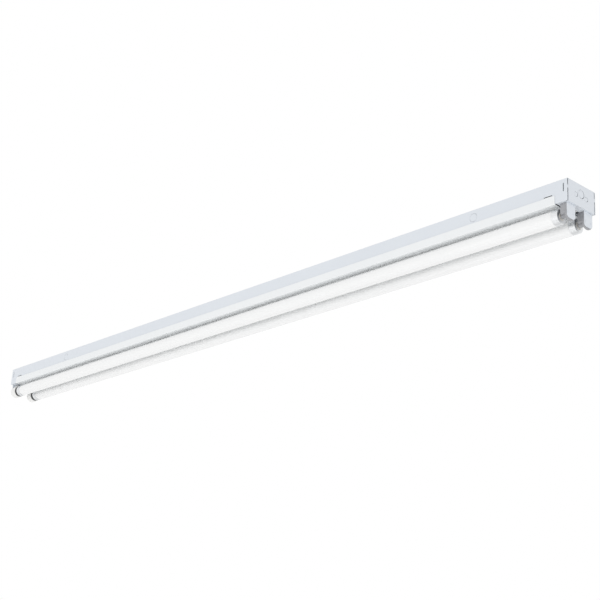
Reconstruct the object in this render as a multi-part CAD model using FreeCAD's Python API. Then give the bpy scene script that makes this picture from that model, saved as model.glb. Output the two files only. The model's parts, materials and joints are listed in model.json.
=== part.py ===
import FreeCAD
import Part
import math
import os

# Twin-lamp fluorescent batten light for single-pin lamps, fixed flat under a ceiling
# The origin is the centre of the channel's back, which lies on the ceiling
# X runs along the light, with the fixed lampholders at +X and the sprung ones at -X
# -Y is the front side, and the lamps hang below the channel at negative Z
# Pieces at an end are drawn by their inset from that end's outer face, then placed

Vector = FreeCAD.Vector
AXIS_X = Vector(1, 0, 0)
AXIS_Y = Vector(0, 1, 0)
AXIS_Z = Vector(0, 0, 1)
ORIGIN = Vector(0, 0, 0)

# The light as a whole
light_length = 2438.0
channel_width = 108.0
channel_depth = 57.0
sheet = 0.8
bend_radius = 1.6
lamp_spacing = 66.0
lamp_drop = 82.5

# Clearances shared by several pieces, and how far a cut runs past what it cuts
fit_gap = 0.3
pin_play = 0.1
overrun = 5.0

# Knockouts, each joined to its sheet by two bridges
knockout_diameter = 22.2
knockout_cut = 0.45
knockout_bridge = 1.6
back_knockout_x = 609.6
side_knockout_right_x = 941.0
side_knockout_left_x = 866.0
side_knockout_drop = 21.0

# Holes in the channel's back
supply_hole_diameter = 22.2
screw_hole_diameter = 7.0
screw_spacing_x = 2032.0
screw_spacing_y = 50.8
hanger_spacing = 2184.4
hanger_slot_length = 25.4
hanger_slot_width = 6.4

# Lips that stiffen the channel's lower edges
lip_width = 6.0
lip_setback = 3.0

# Cover over the wiring, with flanges outside the channel's sides and snap tongues in its slots
cover_inset = 35.0
cover_flange_height = 22.0
latch_inset = 54.5
latch_length = 23.0
latch_slot_height = 4.0
latch_rise = 1.2
latch_reach = 3.0

# End plates, the gaps between them and the channel's sides, and their hooked tabs
end_side_gap = 2.8
tab_length = 10.0
tab_top_drop = 11.0
tab_height = 20.0
tab_neck_length = 4.0
tab_neck_margin = 6.0
tab_slot_gap = 2.2
end_flange_length = 15.0
end_flange_width = 80.0
end_knockout_drop = 23.5
end_knockout_cut = 0.9
end_knockout_shift = -0.7
joining_knockout_diameter = 12.7
joining_knockout_spacing = 39.2
joining_knockout_drop = 30.0

# Brackets whose two ears carry the lampholders
ear_inset = 5.4
ear_width = 31.5
ear_below_axis = 12.5
ear_corner_radius = 9.0
bracket_flange_length = 14.0
bracket_wing_length = 26.0
bracket_notch_width = 44.0
bracket_top_drop = 8.0
bracket_shoulder_height = 7.0
bracket_window_width = 64.0
bracket_window_height = 30.0
bracket_side_relief = 10.0
bracket_lead_hole = 8.0

# Lampholders in general
holder_wall = 2.0
holder_chamfer = 0.8
terminal_width = 5.0
terminal_thickness = 0.8
contact_wall = 0.9
contact_lip = 1.0
lead_block_rounding = 3.0

# Fixed lampholders
fixed_body_diameter = 34.0
fixed_body_length = 6.5
fixed_nose_diameter = 12.6
fixed_block_width = 30.0
fixed_block_length = 20.0
nose_gap = 0.5

# Sprung lampholders and their plungers
spring_body_diameter = 40.0
spring_body_length = 23.8
spring_lip_length = 3.0
spring_block_width = 10.0
spring_block_length = 8.0
plunger_diameter = 34.0
plunger_shoulder = 1.3
plunger_flange_length = 3.0
plunger_travel = 9.5
plunger_front_wall = 9.0
plunger_wall = 3.5
bore_clearance = 0.2

# Springs behind the plungers
spring_wire = 1.0
spring_turns = 7
spring_end_gap = 0.15

# Rivets that hold the lampholders on the ears
rivet_diameter = 2.5
rivet_head_diameter = 4.6
rivet_head_height = 0.9
rivet_depth = 1.5
rivet_offset = 11.0

# Lamps
lamp_diameter = 38.1
lamp_glass_wall = 0.8
lamp_neck_step = 1.35
lamp_neck_length = 13.0
lamp_shoulder_length = 5.0
fixed_face_inset = 32.0
spring_face_inset = 40.0
cap_step = 0.35
cap_wall = 0.7
insulator_diameter = 20.0
insulator_thickness = 3.0
insulator_gap = 1.0
pin_diameter = 7.9
pin_length = 8.0
pin_tip_radius = 1.5

# Glass stems and cathodes inside the lamps
stem_disc_thickness = 1.2
stem_diameter = 9.0
stem_length = 34.0
cathode_wire = 0.8
cathode_wire_length = 12.0
cathode_coil_diameter = 2.0
cathode_coil_length = 14.0
cathode_wire_spacing = 5.0

# Ballast: a base with two feet, a can over it, and a board with its components
ballast_centre_x = -300.0
ballast_length = 215.0
ballast_width = 43.2
ballast_height = 30.0
ballast_sheet = 0.6
ballast_corner = 2.5
ballast_foot_length = 13.0
ballast_base_thickness = 1.2
board_thickness = 1.6
board_drop = 4.0
transformer_length = 30.0
transformer_width = 24.0
transformer_height = 17.0
transformer_share = 0.18
capacitor_diameter = 12.0
capacitor_height = 18.0
capacitor_spacing = 14.0
capacitor_count = 4

# Studs under the channel's back and the nuts that hold the ballast's feet on them
stud_diameter = 4.0
stud_length = 8.0
nut_width = 7.0
nut_height = 3.2

# Ground screw in a collar drawn from the channel's back, with the ring of the ground lead
ground_x = 62.0
ground_side_gap = 19.2
collar_height = 2.0
collar_wall = 1.2
ground_screw_diameter = 4.0
ground_head_width = 8.0
ground_head_height = 3.0
ground_slot_width = 1.0
ground_slot_depth = 1.2
ground_ring_diameter = 9.0
ground_ring_thickness = 0.8
barrel_wall = 0.7
barrel_length = 7.0

# Leads, and how far they reach into the ballast, the connectors and the fixed lampholders
lead_diameter = 2.4
lead_bend = 12.0
lead_side_gap = 11.2
lead_row_pitch = 4.0
lead_back_gap = 0.2
lead_entry = 4.0
lead_straight = 30.0
lead_rise_length = 45.0
lead_exit_pitch = 7.0
lead_fall_inset = 44.0
lead_cross_inset = 69.0
lead_cross_drop = 16.0
lead_turn_drop = 24.0
lead_socket_depth = 8.0

# Wire connectors
connector_mouth_diameter = 12.0
connector_tip_diameter = 8.0
connector_length = 22.0
connector_skirt_wall = 2.0
connector_skirt_depth = 4.0
connector_cavity_depth = 12.0
connector_drop = 20.0
black_connector_x = -60.0
black_connector_side_gap = 31.2
white_connector_x = -75.0
white_connector_side_gap = 15.2
green_connector_x = 4.0
green_connector_side_gap = 23.2

# Clips that hold the leads against the channel's back
clip_length = 8.0
clip_thickness = 0.8
clip_foot = 3.0
clip_pitch = 290.0
clip_start = 60.0

# Shares, chosen by hand
lead_run_share = 0.45
straight_share = 0.999

# Places worked out from the sizes above
half_length = light_length / 2
half_width = channel_width / 2
inner_half_width = half_width - sheet
lamp_y = lamp_spacing / 2
lamp_radius = lamp_diameter / 2
cover_half_width = half_width + fit_gap + sheet
cover_drop = channel_depth + fit_gap + sheet
cover_flange_top = cover_flange_height - cover_drop
latch_slot_bottom = cover_flange_top
tongue_top = latch_slot_bottom + latch_rise
end_half_width = inner_half_width - end_side_gap
tab_bottom = -tab_top_drop - tab_height
holder_back = ear_inset + sheet
cavity_back = holder_back + holder_wall
fixed_front = holder_back + fixed_body_length
fixed_nose_front = fixed_face_inset - nose_gap
spring_front = holder_back + spring_body_length
plunger_front = spring_face_inset - fit_gap
plunger_back = cavity_back + terminal_thickness + bore_clearance + fit_gap + plunger_travel
plunger_seat = plunger_front - plunger_front_wall
plunger_flange_diameter = plunger_diameter + 2 * plunger_shoulder
plunger_hollow_diameter = plunger_diameter - 2 * plunger_wall
spring_bore_diameter = plunger_flange_diameter + 2 * bore_clearance
spring_diameter = plunger_hollow_diameter - 2 * spring_wire
pin_hole_radius = pin_diameter / 2 + pin_play
contact_radius = pin_hole_radius + contact_wall
neck_radius = lamp_radius - lamp_neck_step
cap_radius = lamp_radius - cap_step
tube_setback = insulator_thickness + insulator_gap
cap_length = tube_setback + lamp_neck_length
ballast_left = ballast_centre_x - ballast_length / 2
ballast_right = ballast_centre_x + ballast_length / 2
can_top = -sheet - ballast_base_thickness
board_top = can_top - board_drop
board_bottom = board_top - board_thickness
outer_row = -(inner_half_width - lead_side_gap)
inner_row = outer_row + lead_row_pitch
lead_z = -(sheet + lead_back_gap + lead_diameter / 2)
exit_z = -sheet - ballast_height / 2
terminal_lead_inset = cavity_back + terminal_thickness + lead_diameter / 2 + pin_play
ground_y = inner_half_width - ground_side_gap
black_connector_y = inner_half_width - black_connector_side_gap
white_connector_y = inner_half_width - white_connector_side_gap
green_connector_y = inner_half_width - green_connector_side_gap
ring_top = -sheet - collar_height
ring_bottom = ring_top - ground_ring_thickness
barrel_diameter = lead_diameter + 2 * pin_play + 2 * barrel_wall
barrel_end_x = ground_x - ground_head_width / math.sqrt(3) - fit_gap
barrel_start_x = barrel_end_x - barrel_length
barrel_z = ring_top - barrel_diameter / 2


def box(x0, x1, y0, y1, z0, z1):
    """Box between two corners, given in any order."""
    low = Vector(min(x0, x1), min(y0, y1), min(z0, z1))
    return Part.makeBox(abs(x1 - x0), abs(y1 - y0), abs(z1 - z0), low)


def along_x(diameter, x0, x1, y=0, z=0):
    """Cylinder along X between two places."""
    return Part.makeCylinder(diameter / 2, x1 - x0, Vector(x0, y, z), AXIS_X)


def along_z(diameter, x, y, z_bottom, z_top):
    """Cylinder along Z between two heights."""
    return Part.makeCylinder(diameter / 2, z_top - z_bottom, Vector(x, y, z_bottom), AXIS_Z)


def straight_edges(shape, direction, keep):
    """Straight edges of a shape along a direction whose middle passes a test."""
    found = []
    for edge in shape.Edges:
        if len(edge.Vertexes) == 2:
            line = edge.Vertexes[1].Point - edge.Vertexes[0].Point
            if abs(line.normalize().dot(direction)) > straight_share and keep(edge.CenterOfMass):
                found.append(edge)
    return found


def end_circle(shape, diameter, at_high_x):
    """The round edge of one diameter at a shape's lowest or highest X."""
    place = shape.BoundBox.XMax if at_high_x else shape.BoundBox.XMin
    near = overrun * (1 - straight_share)
    found = []
    for edge in shape.Edges:
        if isinstance(edge.Curve, Part.Circle) and abs(edge.Curve.Center.x - place) < near:
            if abs(edge.Curve.Radius - diameter / 2) < near:
                found.append(edge)
    return found


def at_end(shape, end):
    """Places a piece drawn by its inset at the +X end (end 1) or the -X end (end -1)."""
    placed = shape.mirror(ORIGIN, AXIS_X) if end > 0 else shape.copy()
    placed.translate(Vector(end * half_length, 0, 0))
    return placed


def at_holder(shape, end, side):
    """Places a piece drawn on a lamp's axis at one end, in front (side -1) or behind (side 1)."""
    placed = at_end(shape, end)
    placed.translate(Vector(0, side * lamp_y, -lamp_drop))
    return placed


def knockout_ring(diameter, cut_width, shift=0):
    """Cut that leaves a knockout hanging on two bridges, about the origin along Z, its disc shifted along Y."""
    outer = along_z(diameter, 0, 0, -overrun, overrun)
    inner = along_z(diameter - 2 * cut_width, 0, shift, -overrun, overrun)
    half_bridge = knockout_bridge / 2
    bridge = box(-diameter, diameter, -half_bridge, half_bridge, -overrun, overrun)
    return outer.cut([inner, bridge])


def slot_along_x(length, width, x, y, z0, z1):
    """Slot with round ends, along X."""
    reach = (length - width) / 2
    middle = box(x - reach, x + reach, y - width / 2, y + width / 2, z0, z1)
    return middle.fuse([along_z(width, x + sign * reach, y, z0, z1) for sign in (-1, 1)])


def tray(length, width, height):
    """Sheet tray with open ends, its back at Z zero and its sides hanging down."""
    half = width / 2
    outer = box(-length / 2, length / 2, -half, half, -height, 0)
    outer = outer.makeFillet(bend_radius, straight_edges(outer, AXIS_X, lambda p: p.z > -height / 2))
    inner = box(-length, length, sheet - half, half - sheet, -height - overrun, -sheet)
    inner_radius = bend_radius - sheet
    inner = inner.makeFillet(inner_radius, straight_edges(inner, AXIS_X, lambda p: p.z > -height / 2))
    return outer.cut(inner)


def hexagon(width, x, y, z_bottom, height):
    """Hexagonal prism, with its width across flats."""
    corner = width / math.sqrt(3)
    angles = [k * math.pi / 3 for k in range(7)]
    points = [Vector(x + corner * math.cos(a), y + corner * math.sin(a), z_bottom) for a in angles]
    return Part.Face(Part.makePolygon(points)).extrude(AXIS_Z * height)


# Channel: the folded steel back and sides that carry everything
def make_channel():
    body = tray(light_length, channel_width, channel_depth)
    lip_reach = half_length - cover_inset - lip_setback
    lips = []
    for side in (-1, 1):
        inner = side * inner_half_width
        edge = side * (inner_half_width - lip_width)
        lips.append(box(-lip_reach, lip_reach, inner, edge, -channel_depth, sheet - channel_depth))
    collar_diameter = ground_screw_diameter + 2 * collar_wall
    collar = along_z(collar_diameter, ground_x, ground_y, -sheet - collar_height, -sheet)
    body = body.fuse(lips + [collar])

    cuts = [along_z(ground_screw_diameter, ground_x, ground_y, -overrun, overrun)]
    cuts.append(along_z(supply_hole_diameter, 0, 0, -overrun, overrun))
    for sign in (-1, 1):
        for side in (-1, 1):
            y = side * screw_spacing_y / 2
            cuts.append(along_z(screw_hole_diameter, sign * screw_spacing_x / 2, y, -overrun, overrun))
        x = sign * hanger_spacing / 2
        cuts.append(slot_along_x(hanger_slot_length, hanger_slot_width, x, 0, -overrun, overrun))
        knockout = knockout_ring(knockout_diameter, knockout_cut)
        knockout.translate(Vector(sign * back_knockout_x, 0, 0))
        cuts.append(knockout)
    for x in (-side_knockout_left_x, side_knockout_right_x):
        for side in (-1, 1):
            knockout = knockout_ring(knockout_diameter, knockout_cut)
            knockout.rotate(ORIGIN, AXIS_X, 90)
            knockout.translate(Vector(x, side * half_width, -side_knockout_drop))
            cuts.append(knockout)
    slot_half = latch_length / 2 + fit_gap
    latch_slot_top = latch_slot_bottom + latch_slot_height
    hook_slot_in = half_length - tab_length - tab_slot_gap
    hook_slot_out = half_length - tab_length + sheet + fit_gap
    for sign in (-1, 1):
        x = sign * (half_length - latch_inset)
        x0 = sign * hook_slot_in
        x1 = sign * hook_slot_out
        for side in (-1, 1):
            y0 = side * half_width - overrun
            y1 = side * half_width + overrun
            cuts.append(box(x - slot_half, x + slot_half, y0, y1, latch_slot_bottom, latch_slot_top))
            cuts.append(box(x0, x1, y0, y1, tab_bottom - fit_gap, fit_gap - tab_top_drop))
    return body.cut(cuts)


# Cover: a shallow tray that closes the channel from below, with four snap tongues
def make_channel_cover():
    body = tray(light_length - 2 * cover_inset, 2 * cover_half_width, cover_flange_height)
    body.rotate(ORIGIN, AXIS_X, 180)
    body.translate(Vector(0, 0, -cover_drop))
    tongues = []
    for sign in (-1, 1):
        x = sign * (half_length - latch_inset)
        x0 = x - latch_length / 2
        x1 = x + latch_length / 2
        for side in (-1, 1):
            outer = side * cover_half_width
            inner = side * (cover_half_width - sheet)
            tip = side * (cover_half_width - sheet - latch_reach)
            tongues.append(box(x0, x1, outer, inner, cover_flange_top, tongue_top))
            tongues.append(box(x0, x1, outer, tip, tongue_top - sheet, tongue_top))
    return body.fuse(tongues).removeSplitter()


# End plates: each stands between the channel's sides, and its tabs inside them hook into slots there
def make_end_plate():
    plate = box(0, sheet, -end_half_width, end_half_width, -channel_depth, -sheet)
    parts = []
    neck_top = -tab_top_drop - tab_neck_margin
    neck_bottom = tab_bottom + tab_neck_margin
    for side in (-1, 1):
        edge = side * end_half_width
        inner = side * (inner_half_width - sheet)
        outer = side * inner_half_width
        tip = side * half_width
        parts.append(box(0, sheet, edge, outer, neck_bottom, neck_top))
        parts.append(box(0, tab_neck_length, inner, outer, neck_bottom, neck_top))
        parts.append(box(tab_neck_length, tab_length, inner, outer, tab_bottom, -tab_top_drop))
        parts.append(box(tab_length - sheet, tab_length, outer, tip, tab_bottom, -tab_top_drop))
    half_flange = end_flange_width / 2
    parts.append(box(0, end_flange_length, -half_flange, half_flange, -2 * sheet, -sheet))
    hem_end = ear_inset - pin_play
    parts.append(box(0, hem_end, -end_half_width, end_half_width, -channel_depth, sheet - channel_depth))
    places = [(knockout_diameter, 0, end_knockout_drop)]
    for side in (-1, 1):
        places.append((joining_knockout_diameter, side * joining_knockout_spacing / 2, joining_knockout_drop))
    cuts = []
    for diameter, y, drop in places:
        knockout = knockout_ring(diameter, end_knockout_cut, end_knockout_shift)
        knockout.rotate(ORIGIN, AXIS_Y, 90)
        knockout.translate(Vector(0, y, -drop))
        cuts.append(knockout)
    return plate.fuse(parts).cut(cuts).removeSplitter()


# Socket brackets: a sheet behind each end plate, flanged on three sides, with two ears below it
# The lower flange reaches further in on each side of a notch
def make_socket_bracket():
    shoulder = bracket_shoulder_height - channel_depth
    plate = box(ear_inset, holder_back, -inner_half_width, inner_half_width, shoulder, -bracket_top_drop)
    ear_reach = lamp_y + ear_width / 2
    flange_end = holder_back + bracket_flange_length
    wing_end = holder_back + bracket_wing_length
    shelf_top = sheet - channel_depth
    tab_room = tab_bottom - fit_gap
    parts = [box(ear_inset, holder_back, -ear_reach, ear_reach, -channel_depth, shoulder)]
    parts.append(box(ear_inset, wing_end, -inner_half_width, inner_half_width, -channel_depth, shelf_top))
    ear_bottom = -lamp_drop - ear_below_axis
    for side in (-1, 1):
        y0 = side * lamp_y - ear_width / 2
        y1 = side * lamp_y + ear_width / 2
        ear = box(ear_inset, holder_back, y0, y1, ear_bottom, -channel_depth)
        corners = straight_edges(ear, AXIS_X, lambda p: p.z < -lamp_drop)
        parts.append(ear.makeFillet(ear_corner_radius, corners))
        inner = side * inner_half_width
        flange = side * (inner_half_width - sheet)
        parts.append(box(ear_inset, wing_end, inner, flange, -channel_depth, tab_room))
    half_window = bracket_window_width / 2
    window_middle = (shoulder - bracket_top_drop) / 2
    window_top = window_middle + bracket_window_height / 2
    window_bottom = window_middle - bracket_window_height / 2
    cuts = [box(0, holder_back + overrun, -half_window, half_window, window_bottom, window_top)]
    half_notch = bracket_notch_width / 2
    cuts.append(box(flange_end, wing_end + overrun, -half_notch, half_notch, -channel_depth - overrun, shoulder))
    relief_bottom = min(window_bottom, tab_room)
    for side in (-1, 1):
        relief = side * (inner_half_width - bracket_side_relief)
        cuts.append(box(0, holder_back, relief, side * (inner_half_width + overrun), relief_bottom, 0))
        y = side * lamp_y
        cuts.append(along_z(bracket_lead_hole, terminal_lead_inset, y, -channel_depth - overrun, shoulder))
        for offset in (-rivet_offset, rivet_offset):
            cuts.append(along_x(rivet_diameter, 0, holder_back + overrun, y + offset, -lamp_drop))
    return plate.fuse(parts).cut(cuts).removeSplitter()


def rivet_holes():
    """Blind holes for the two rivets in a lampholder's back, about the lamp's axis."""
    places = (-rivet_offset, rivet_offset)
    return [along_x(rivet_diameter, holder_back, holder_back + rivet_depth, y) for y in places]


def lead_slot(body_diameter, floor):
    """Slot in a lampholder's side for its terminal and lead, open upward."""
    half = terminal_width / 2 + pin_play
    far = terminal_lead_inset + lead_diameter / 2 + pin_play
    return box(cavity_back, far, -half, half, floor, body_diameter)


def lead_block(width, length):
    """Block round a lampholder's lead, from the lamp's axis up to the bracket's lower flange."""
    top = lamp_drop - channel_depth - fit_gap
    block = box(holder_back, holder_back + length, -width / 2, width / 2, 0, top)
    corners = straight_edges(block, AXIS_Z, lambda p: p.x > holder_back + length / 2)
    return block.makeFillet(lead_block_rounding, corners)


# Fixed lampholders: a grey moulded disc on the ear, with a slender nose towards the lamp and a block above it
def make_fixed_lampholder():
    body = along_x(fixed_body_diameter, holder_back, fixed_front)
    body = body.makeChamfer(holder_chamfer, end_circle(body, fixed_body_diameter, True))
    block = lead_block(fixed_block_width, fixed_block_length)
    nose = along_x(fixed_nose_diameter, fixed_front, fixed_nose_front)
    nose = nose.makeChamfer(holder_chamfer, end_circle(nose, fixed_nose_diameter, True))
    cavity = along_x(2 * (contact_radius + pin_play), cavity_back, fixed_nose_front - 2 * contact_lip)
    mouth = along_x(2 * (pin_hole_radius + pin_play), cavity_back, fixed_nose_front + overrun)
    cuts = rivet_holes() + [cavity, mouth, lead_slot(fixed_body_diameter, 0)]
    return body.fuse([nose, block]).cut(cuts).removeSplitter()


# Contacts of the fixed lampholders: a brass sleeve for the pin, with a tail up to the lead
def make_fixed_contact():
    front = fixed_nose_front - 2 * contact_lip
    sleeve = along_x(2 * contact_radius, cavity_back, front - pin_play)
    bore = along_x(2 * pin_hole_radius, cavity_back + terminal_thickness, front)
    half = terminal_width / 2
    top = fixed_body_diameter / 2 - holder_chamfer
    tail = box(cavity_back, cavity_back + terminal_thickness, -half, half, 0, top)
    return sleeve.cut(bore).fuse(tail).removeSplitter()


# Sprung lampholders: a white moulded cup whose front lip guides the plunger, with a block round its lead
def make_spring_lampholder():
    body = along_x(spring_body_diameter, holder_back, spring_front)
    body = body.makeChamfer(holder_chamfer, end_circle(body, spring_body_diameter, True))
    bore = along_x(spring_bore_diameter, cavity_back, spring_front - spring_lip_length)
    lip = along_x(plunger_diameter + 2 * bore_clearance, cavity_back, spring_front + overrun)
    half = terminal_width / 2 + pin_play
    slot_end = cavity_back + terminal_thickness + pin_play
    slot = box(cavity_back, slot_end, -half, half, 0, spring_body_diameter)
    cuts = rivet_holes() + [bore, lip, slot, lead_slot(spring_body_diameter, spring_body_diameter / 2)]
    return body.fuse(lead_block(spring_block_width, spring_block_length)).cut(cuts).removeSplitter()


# Terminals of the sprung lampholders: a brass disc under the spring, with a tail up to the lead
def make_spring_terminal():
    disc = along_x(spring_bore_diameter - 2 * fit_gap, cavity_back, cavity_back + terminal_thickness)
    half = terminal_width / 2
    top = spring_body_diameter / 2 + terminal_width
    tail = box(cavity_back, cavity_back + terminal_thickness, -half, half, 0, top)
    return disc.fuse(tail).removeSplitter()


# Plungers: a dark hollow cup that slides in the lampholder and takes the lamp's pin
def make_plunger():
    body = along_x(plunger_diameter, plunger_back, plunger_front)
    body = body.makeChamfer(holder_chamfer, end_circle(body, plunger_diameter, True))
    flange = along_x(plunger_flange_diameter, plunger_back, plunger_back + plunger_flange_length)
    hollow = along_x(plunger_hollow_diameter, plunger_back - overrun, plunger_seat)
    hole = along_x(2 * (contact_radius + pin_play), plunger_back, plunger_front - contact_lip)
    mouth = along_x(2 * (pin_hole_radius + pin_play), plunger_back, plunger_front + overrun)
    return body.fuse(flange).cut([hollow, hole, mouth]).removeSplitter()


# Contacts in the plungers: a flanged brass sleeve that the spring presses forward
def make_plunger_contact():
    flange_diameter = plunger_hollow_diameter - 2 * fit_gap
    flange = along_x(flange_diameter, plunger_seat - terminal_thickness, plunger_seat)
    sleeve = along_x(2 * contact_radius, plunger_seat, plunger_front - contact_lip - pin_play)
    bore = along_x(2 * pin_hole_radius, plunger_seat - overrun, plunger_front)
    return flange.fuse(sleeve).cut(bore).removeSplitter()


# An arc that leaves its start towards a corner and ends as far beyond the corner
def arc_round(start, corner, end):
    middle = (start + end) / 2
    half_turn = (corner - start).getAngle(end - start)
    share = math.tan(half_turn / 2) / math.tan(half_turn)
    return Part.Arc(start, middle + (corner - middle) * share, end).toShape()


# A helix about the X axis, from two arcs to each quarter of a turn
def helix_of_arcs(x_start, x_end, radius, turns):
    quarters = 4 * turns
    points = []
    directions = []
    for step in range(quarters + 1):
        angle = step * math.pi / 2
        x = x_start + (x_end - x_start) * step / quarters
        points.append(Vector(x, radius * math.cos(angle), radius * math.sin(angle)))
        advance = (x_end - x_start) / (2 * math.pi * turns)
        direction = Vector(advance, -radius * math.sin(angle), radius * math.cos(angle))
        directions.append(direction.normalize())
    edges = []
    for step in range(quarters):
        start, end = points[step], points[step + 1]
        leaving, arriving = directions[step], directions[step + 1]
        bend = 2 * (1 - leaving.dot(arriving))
        slope = (end - start).dot(leaving + arriving)
        reach = (math.sqrt(slope ** 2 + bend * (end - start).dot(end - start)) - slope) / bend
        first_corner = start + leaving * reach
        second_corner = end - arriving * reach
        joint = (first_corner + second_corner) / 2
        edges.append(arc_round(start, first_corner, joint))
        edges.append(arc_round(joint, second_corner, end))
    return Part.Wire(edges)


# Springs between the terminals and the plunger contacts
def make_plunger_spring():
    back = cavity_back + terminal_thickness + spring_end_gap + spring_wire / 2
    front = plunger_seat - terminal_thickness - spring_end_gap - spring_wire / 2
    mean_radius = (spring_diameter - spring_wire) / 2
    path = helix_of_arcs(back, front, mean_radius, spring_turns)
    first = path.OrderedEdges[0]
    tangent = first.tangentAt(first.FirstParameter)
    section = Part.Wire(Part.makeCircle(spring_wire / 2, first.valueAt(first.FirstParameter), tangent))
    gap = (front - back) / spring_turns - spring_wire
    print("spring gap between turns", round(gap, 2))
    return path.makePipeShell([section], True, False)


# Rivets through the ears into the lampholders' backs, with rounded heads outside
def make_lampholder_rivets():
    rivets = []
    for end in (-1, 1):
        for side in (-1, 1):
            for y in (-rivet_offset, rivet_offset):
                shank = along_x(rivet_diameter, ear_inset, holder_back + rivet_depth, y)
                head = along_x(rivet_head_diameter, ear_inset - rivet_head_height, ear_inset, y)
                rim = end_circle(head, rivet_head_diameter, False)
                head = head.makeFillet(rivet_head_height / 2, rim)
                rivets.append(at_holder(shank.fuse(head).removeSplitter(), end, side))
    return Part.makeCompound(rivets)


def at_lamp_ends(piece, side):
    """Places a lamp piece, drawn with its cap's face at inset zero, at both ends of a lamp."""
    pair = []
    for end, inset in ((-1, spring_face_inset), (1, fixed_face_inset)):
        moved = piece.copy()
        moved.translate(Vector(inset, 0, 0))
        pair.append(at_holder(moved, end, side))
    return Part.makeCompound(pair)


# Lamp glass: a long tube that narrows at both ends to fit inside the caps
def make_lamp_tube(side):
    x0 = spring_face_inset + tube_setback - half_length
    x1 = half_length - fixed_face_inset - tube_setback

    def turned(shrink):
        near_neck = x0 + lamp_neck_length
        far_neck = x1 - lamp_neck_length
        corners = [(x0, 0), (x0, neck_radius - shrink), (near_neck, neck_radius - shrink)]
        corners.append((near_neck + lamp_shoulder_length, lamp_radius - shrink))
        corners.append((far_neck - lamp_shoulder_length, lamp_radius - shrink))
        corners += [(far_neck, neck_radius - shrink), (x1, neck_radius - shrink), (x1, 0), (x0, 0)]
        outline = Part.makePolygon([Vector(x, r, 0) for x, r in corners])
        return Part.Face(outline).revolve(ORIGIN, AXIS_X, 360)

    tube = turned(0).cut(turned(lamp_glass_wall))
    tube.translate(Vector(0, side * lamp_y, -lamp_drop))
    return tube


# Lamp caps: an aluminium shell on each end of the glass, with a hole for the insulator
def make_lamp_cap():
    shell = along_x(2 * cap_radius, 0, cap_length)
    shell = shell.makeFillet(cap_wall, end_circle(shell, 2 * cap_radius, False))
    inside = along_x(2 * (cap_radius - cap_wall), cap_wall, cap_length + overrun)
    hole = along_x(insulator_diameter, -overrun, overrun)
    return shell.cut([inside, hole])


# Insulators: a round board in the cap's face that carries the pin
def make_lamp_insulator():
    disc = along_x(insulator_diameter, 0, insulator_thickness)
    rim = along_x(insulator_diameter + 2 * cap_wall, cap_wall, insulator_thickness)
    return disc.fuse(rim).cut(along_x(pin_diameter, -overrun, overrun)).removeSplitter()


# Pins: one at each end of a lamp, rounded at the tip
def make_lamp_pin():
    pin = along_x(pin_diameter, -pin_length, insulator_thickness)
    return pin.makeFillet(pin_tip_radius, end_circle(pin, pin_diameter, False))


# Stems: the glass discs that close the tube, each with a narrower stem for the cathode
def make_lamp_stem():
    disc_diameter = 2 * (neck_radius - lamp_glass_wall - pin_play)
    disc = along_x(disc_diameter, tube_setback, tube_setback + stem_disc_thickness)
    stem = along_x(stem_diameter, tube_setback, tube_setback + stem_length)
    return disc.fuse(stem).removeSplitter()


# Cathodes: a tungsten coil across two wires at each stem's tip
def make_lamp_cathode():
    root = tube_setback + stem_length
    tip = root + cathode_wire_length
    half_coil = cathode_coil_length / 2
    coil = Part.makeCylinder(cathode_coil_diameter / 2, cathode_coil_length, Vector(tip, -half_coil, 0), AXIS_Y)
    wires = [along_x(cathode_wire, root, tip, sign * cathode_wire_spacing / 2) for sign in (-1, 1)]
    return coil.fuse(wires).removeSplitter()


def stud_places():
    """X of the two studs that hold the ballast's feet."""
    reach = (ballast_length + ballast_foot_length) / 2
    return (ballast_centre_x - reach, ballast_centre_x + reach)


def lead_exits():
    """Y of the four places where leads can leave an end of the ballast."""
    return [(k - 3 / 2) * lead_exit_pitch for k in range(4)]


# Ballast base: a plate on the channel's back whose ends are the ballast's feet
def make_ballast_base():
    half = ballast_width / 2
    x0 = ballast_left - ballast_foot_length
    x1 = ballast_right + ballast_foot_length
    base = box(x0, x1, -half, half, can_top, -sheet)
    return base.cut([along_z(stud_diameter + 2 * fit_gap, x, 0, -overrun, 0) for x in stud_places()])


# Ballast can: five thin walls over the board, with holes for the leads at both ends
def make_ballast_can():
    half = ballast_width / 2
    bottom = -sheet - ballast_height
    can = box(ballast_left, ballast_right, -half, half, bottom, can_top)
    can = can.makeFillet(ballast_corner, straight_edges(can, AXIS_X, lambda p: p.z < exit_z))
    x0 = ballast_left + ballast_sheet
    x1 = ballast_right - ballast_sheet
    inner_half = half - ballast_sheet
    inside = box(x0, x1, -inner_half, inner_half, bottom + ballast_sheet, can_top)
    inner_corner = ballast_corner - ballast_sheet
    inside = inside.makeFillet(inner_corner, straight_edges(inside, AXIS_X, lambda p: p.z < exit_z))
    x0 = ballast_left - overrun
    x1 = ballast_right + overrun
    holes = [along_x(lead_diameter + 2 * pin_play, x0, x1, y, exit_z) for y in lead_exits()]
    return can.cut([inside] + holes)


# Circuit board inside the ballast, with two transformers and a row of capacitors under it
def make_ballast_board():
    half = ballast_width / 2 - ballast_sheet - fit_gap
    reach = ballast_length / 2 - ballast_sheet - fit_gap
    x0 = ballast_centre_x - reach
    x1 = ballast_centre_x + reach
    return box(x0, x1, -half, half, board_bottom, board_top)


def make_ballast_transformers():
    found = []
    half_width_here = transformer_width / 2
    for sign in (-1, 1):
        x = ballast_centre_x + sign * transformer_share * ballast_length
        x0 = x - transformer_length / 2
        x1 = x + transformer_length / 2
        bottom = board_bottom - transformer_height
        found.append(box(x0, x1, -half_width_here, half_width_here, bottom, board_bottom))
    return Part.makeCompound(found)


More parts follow.
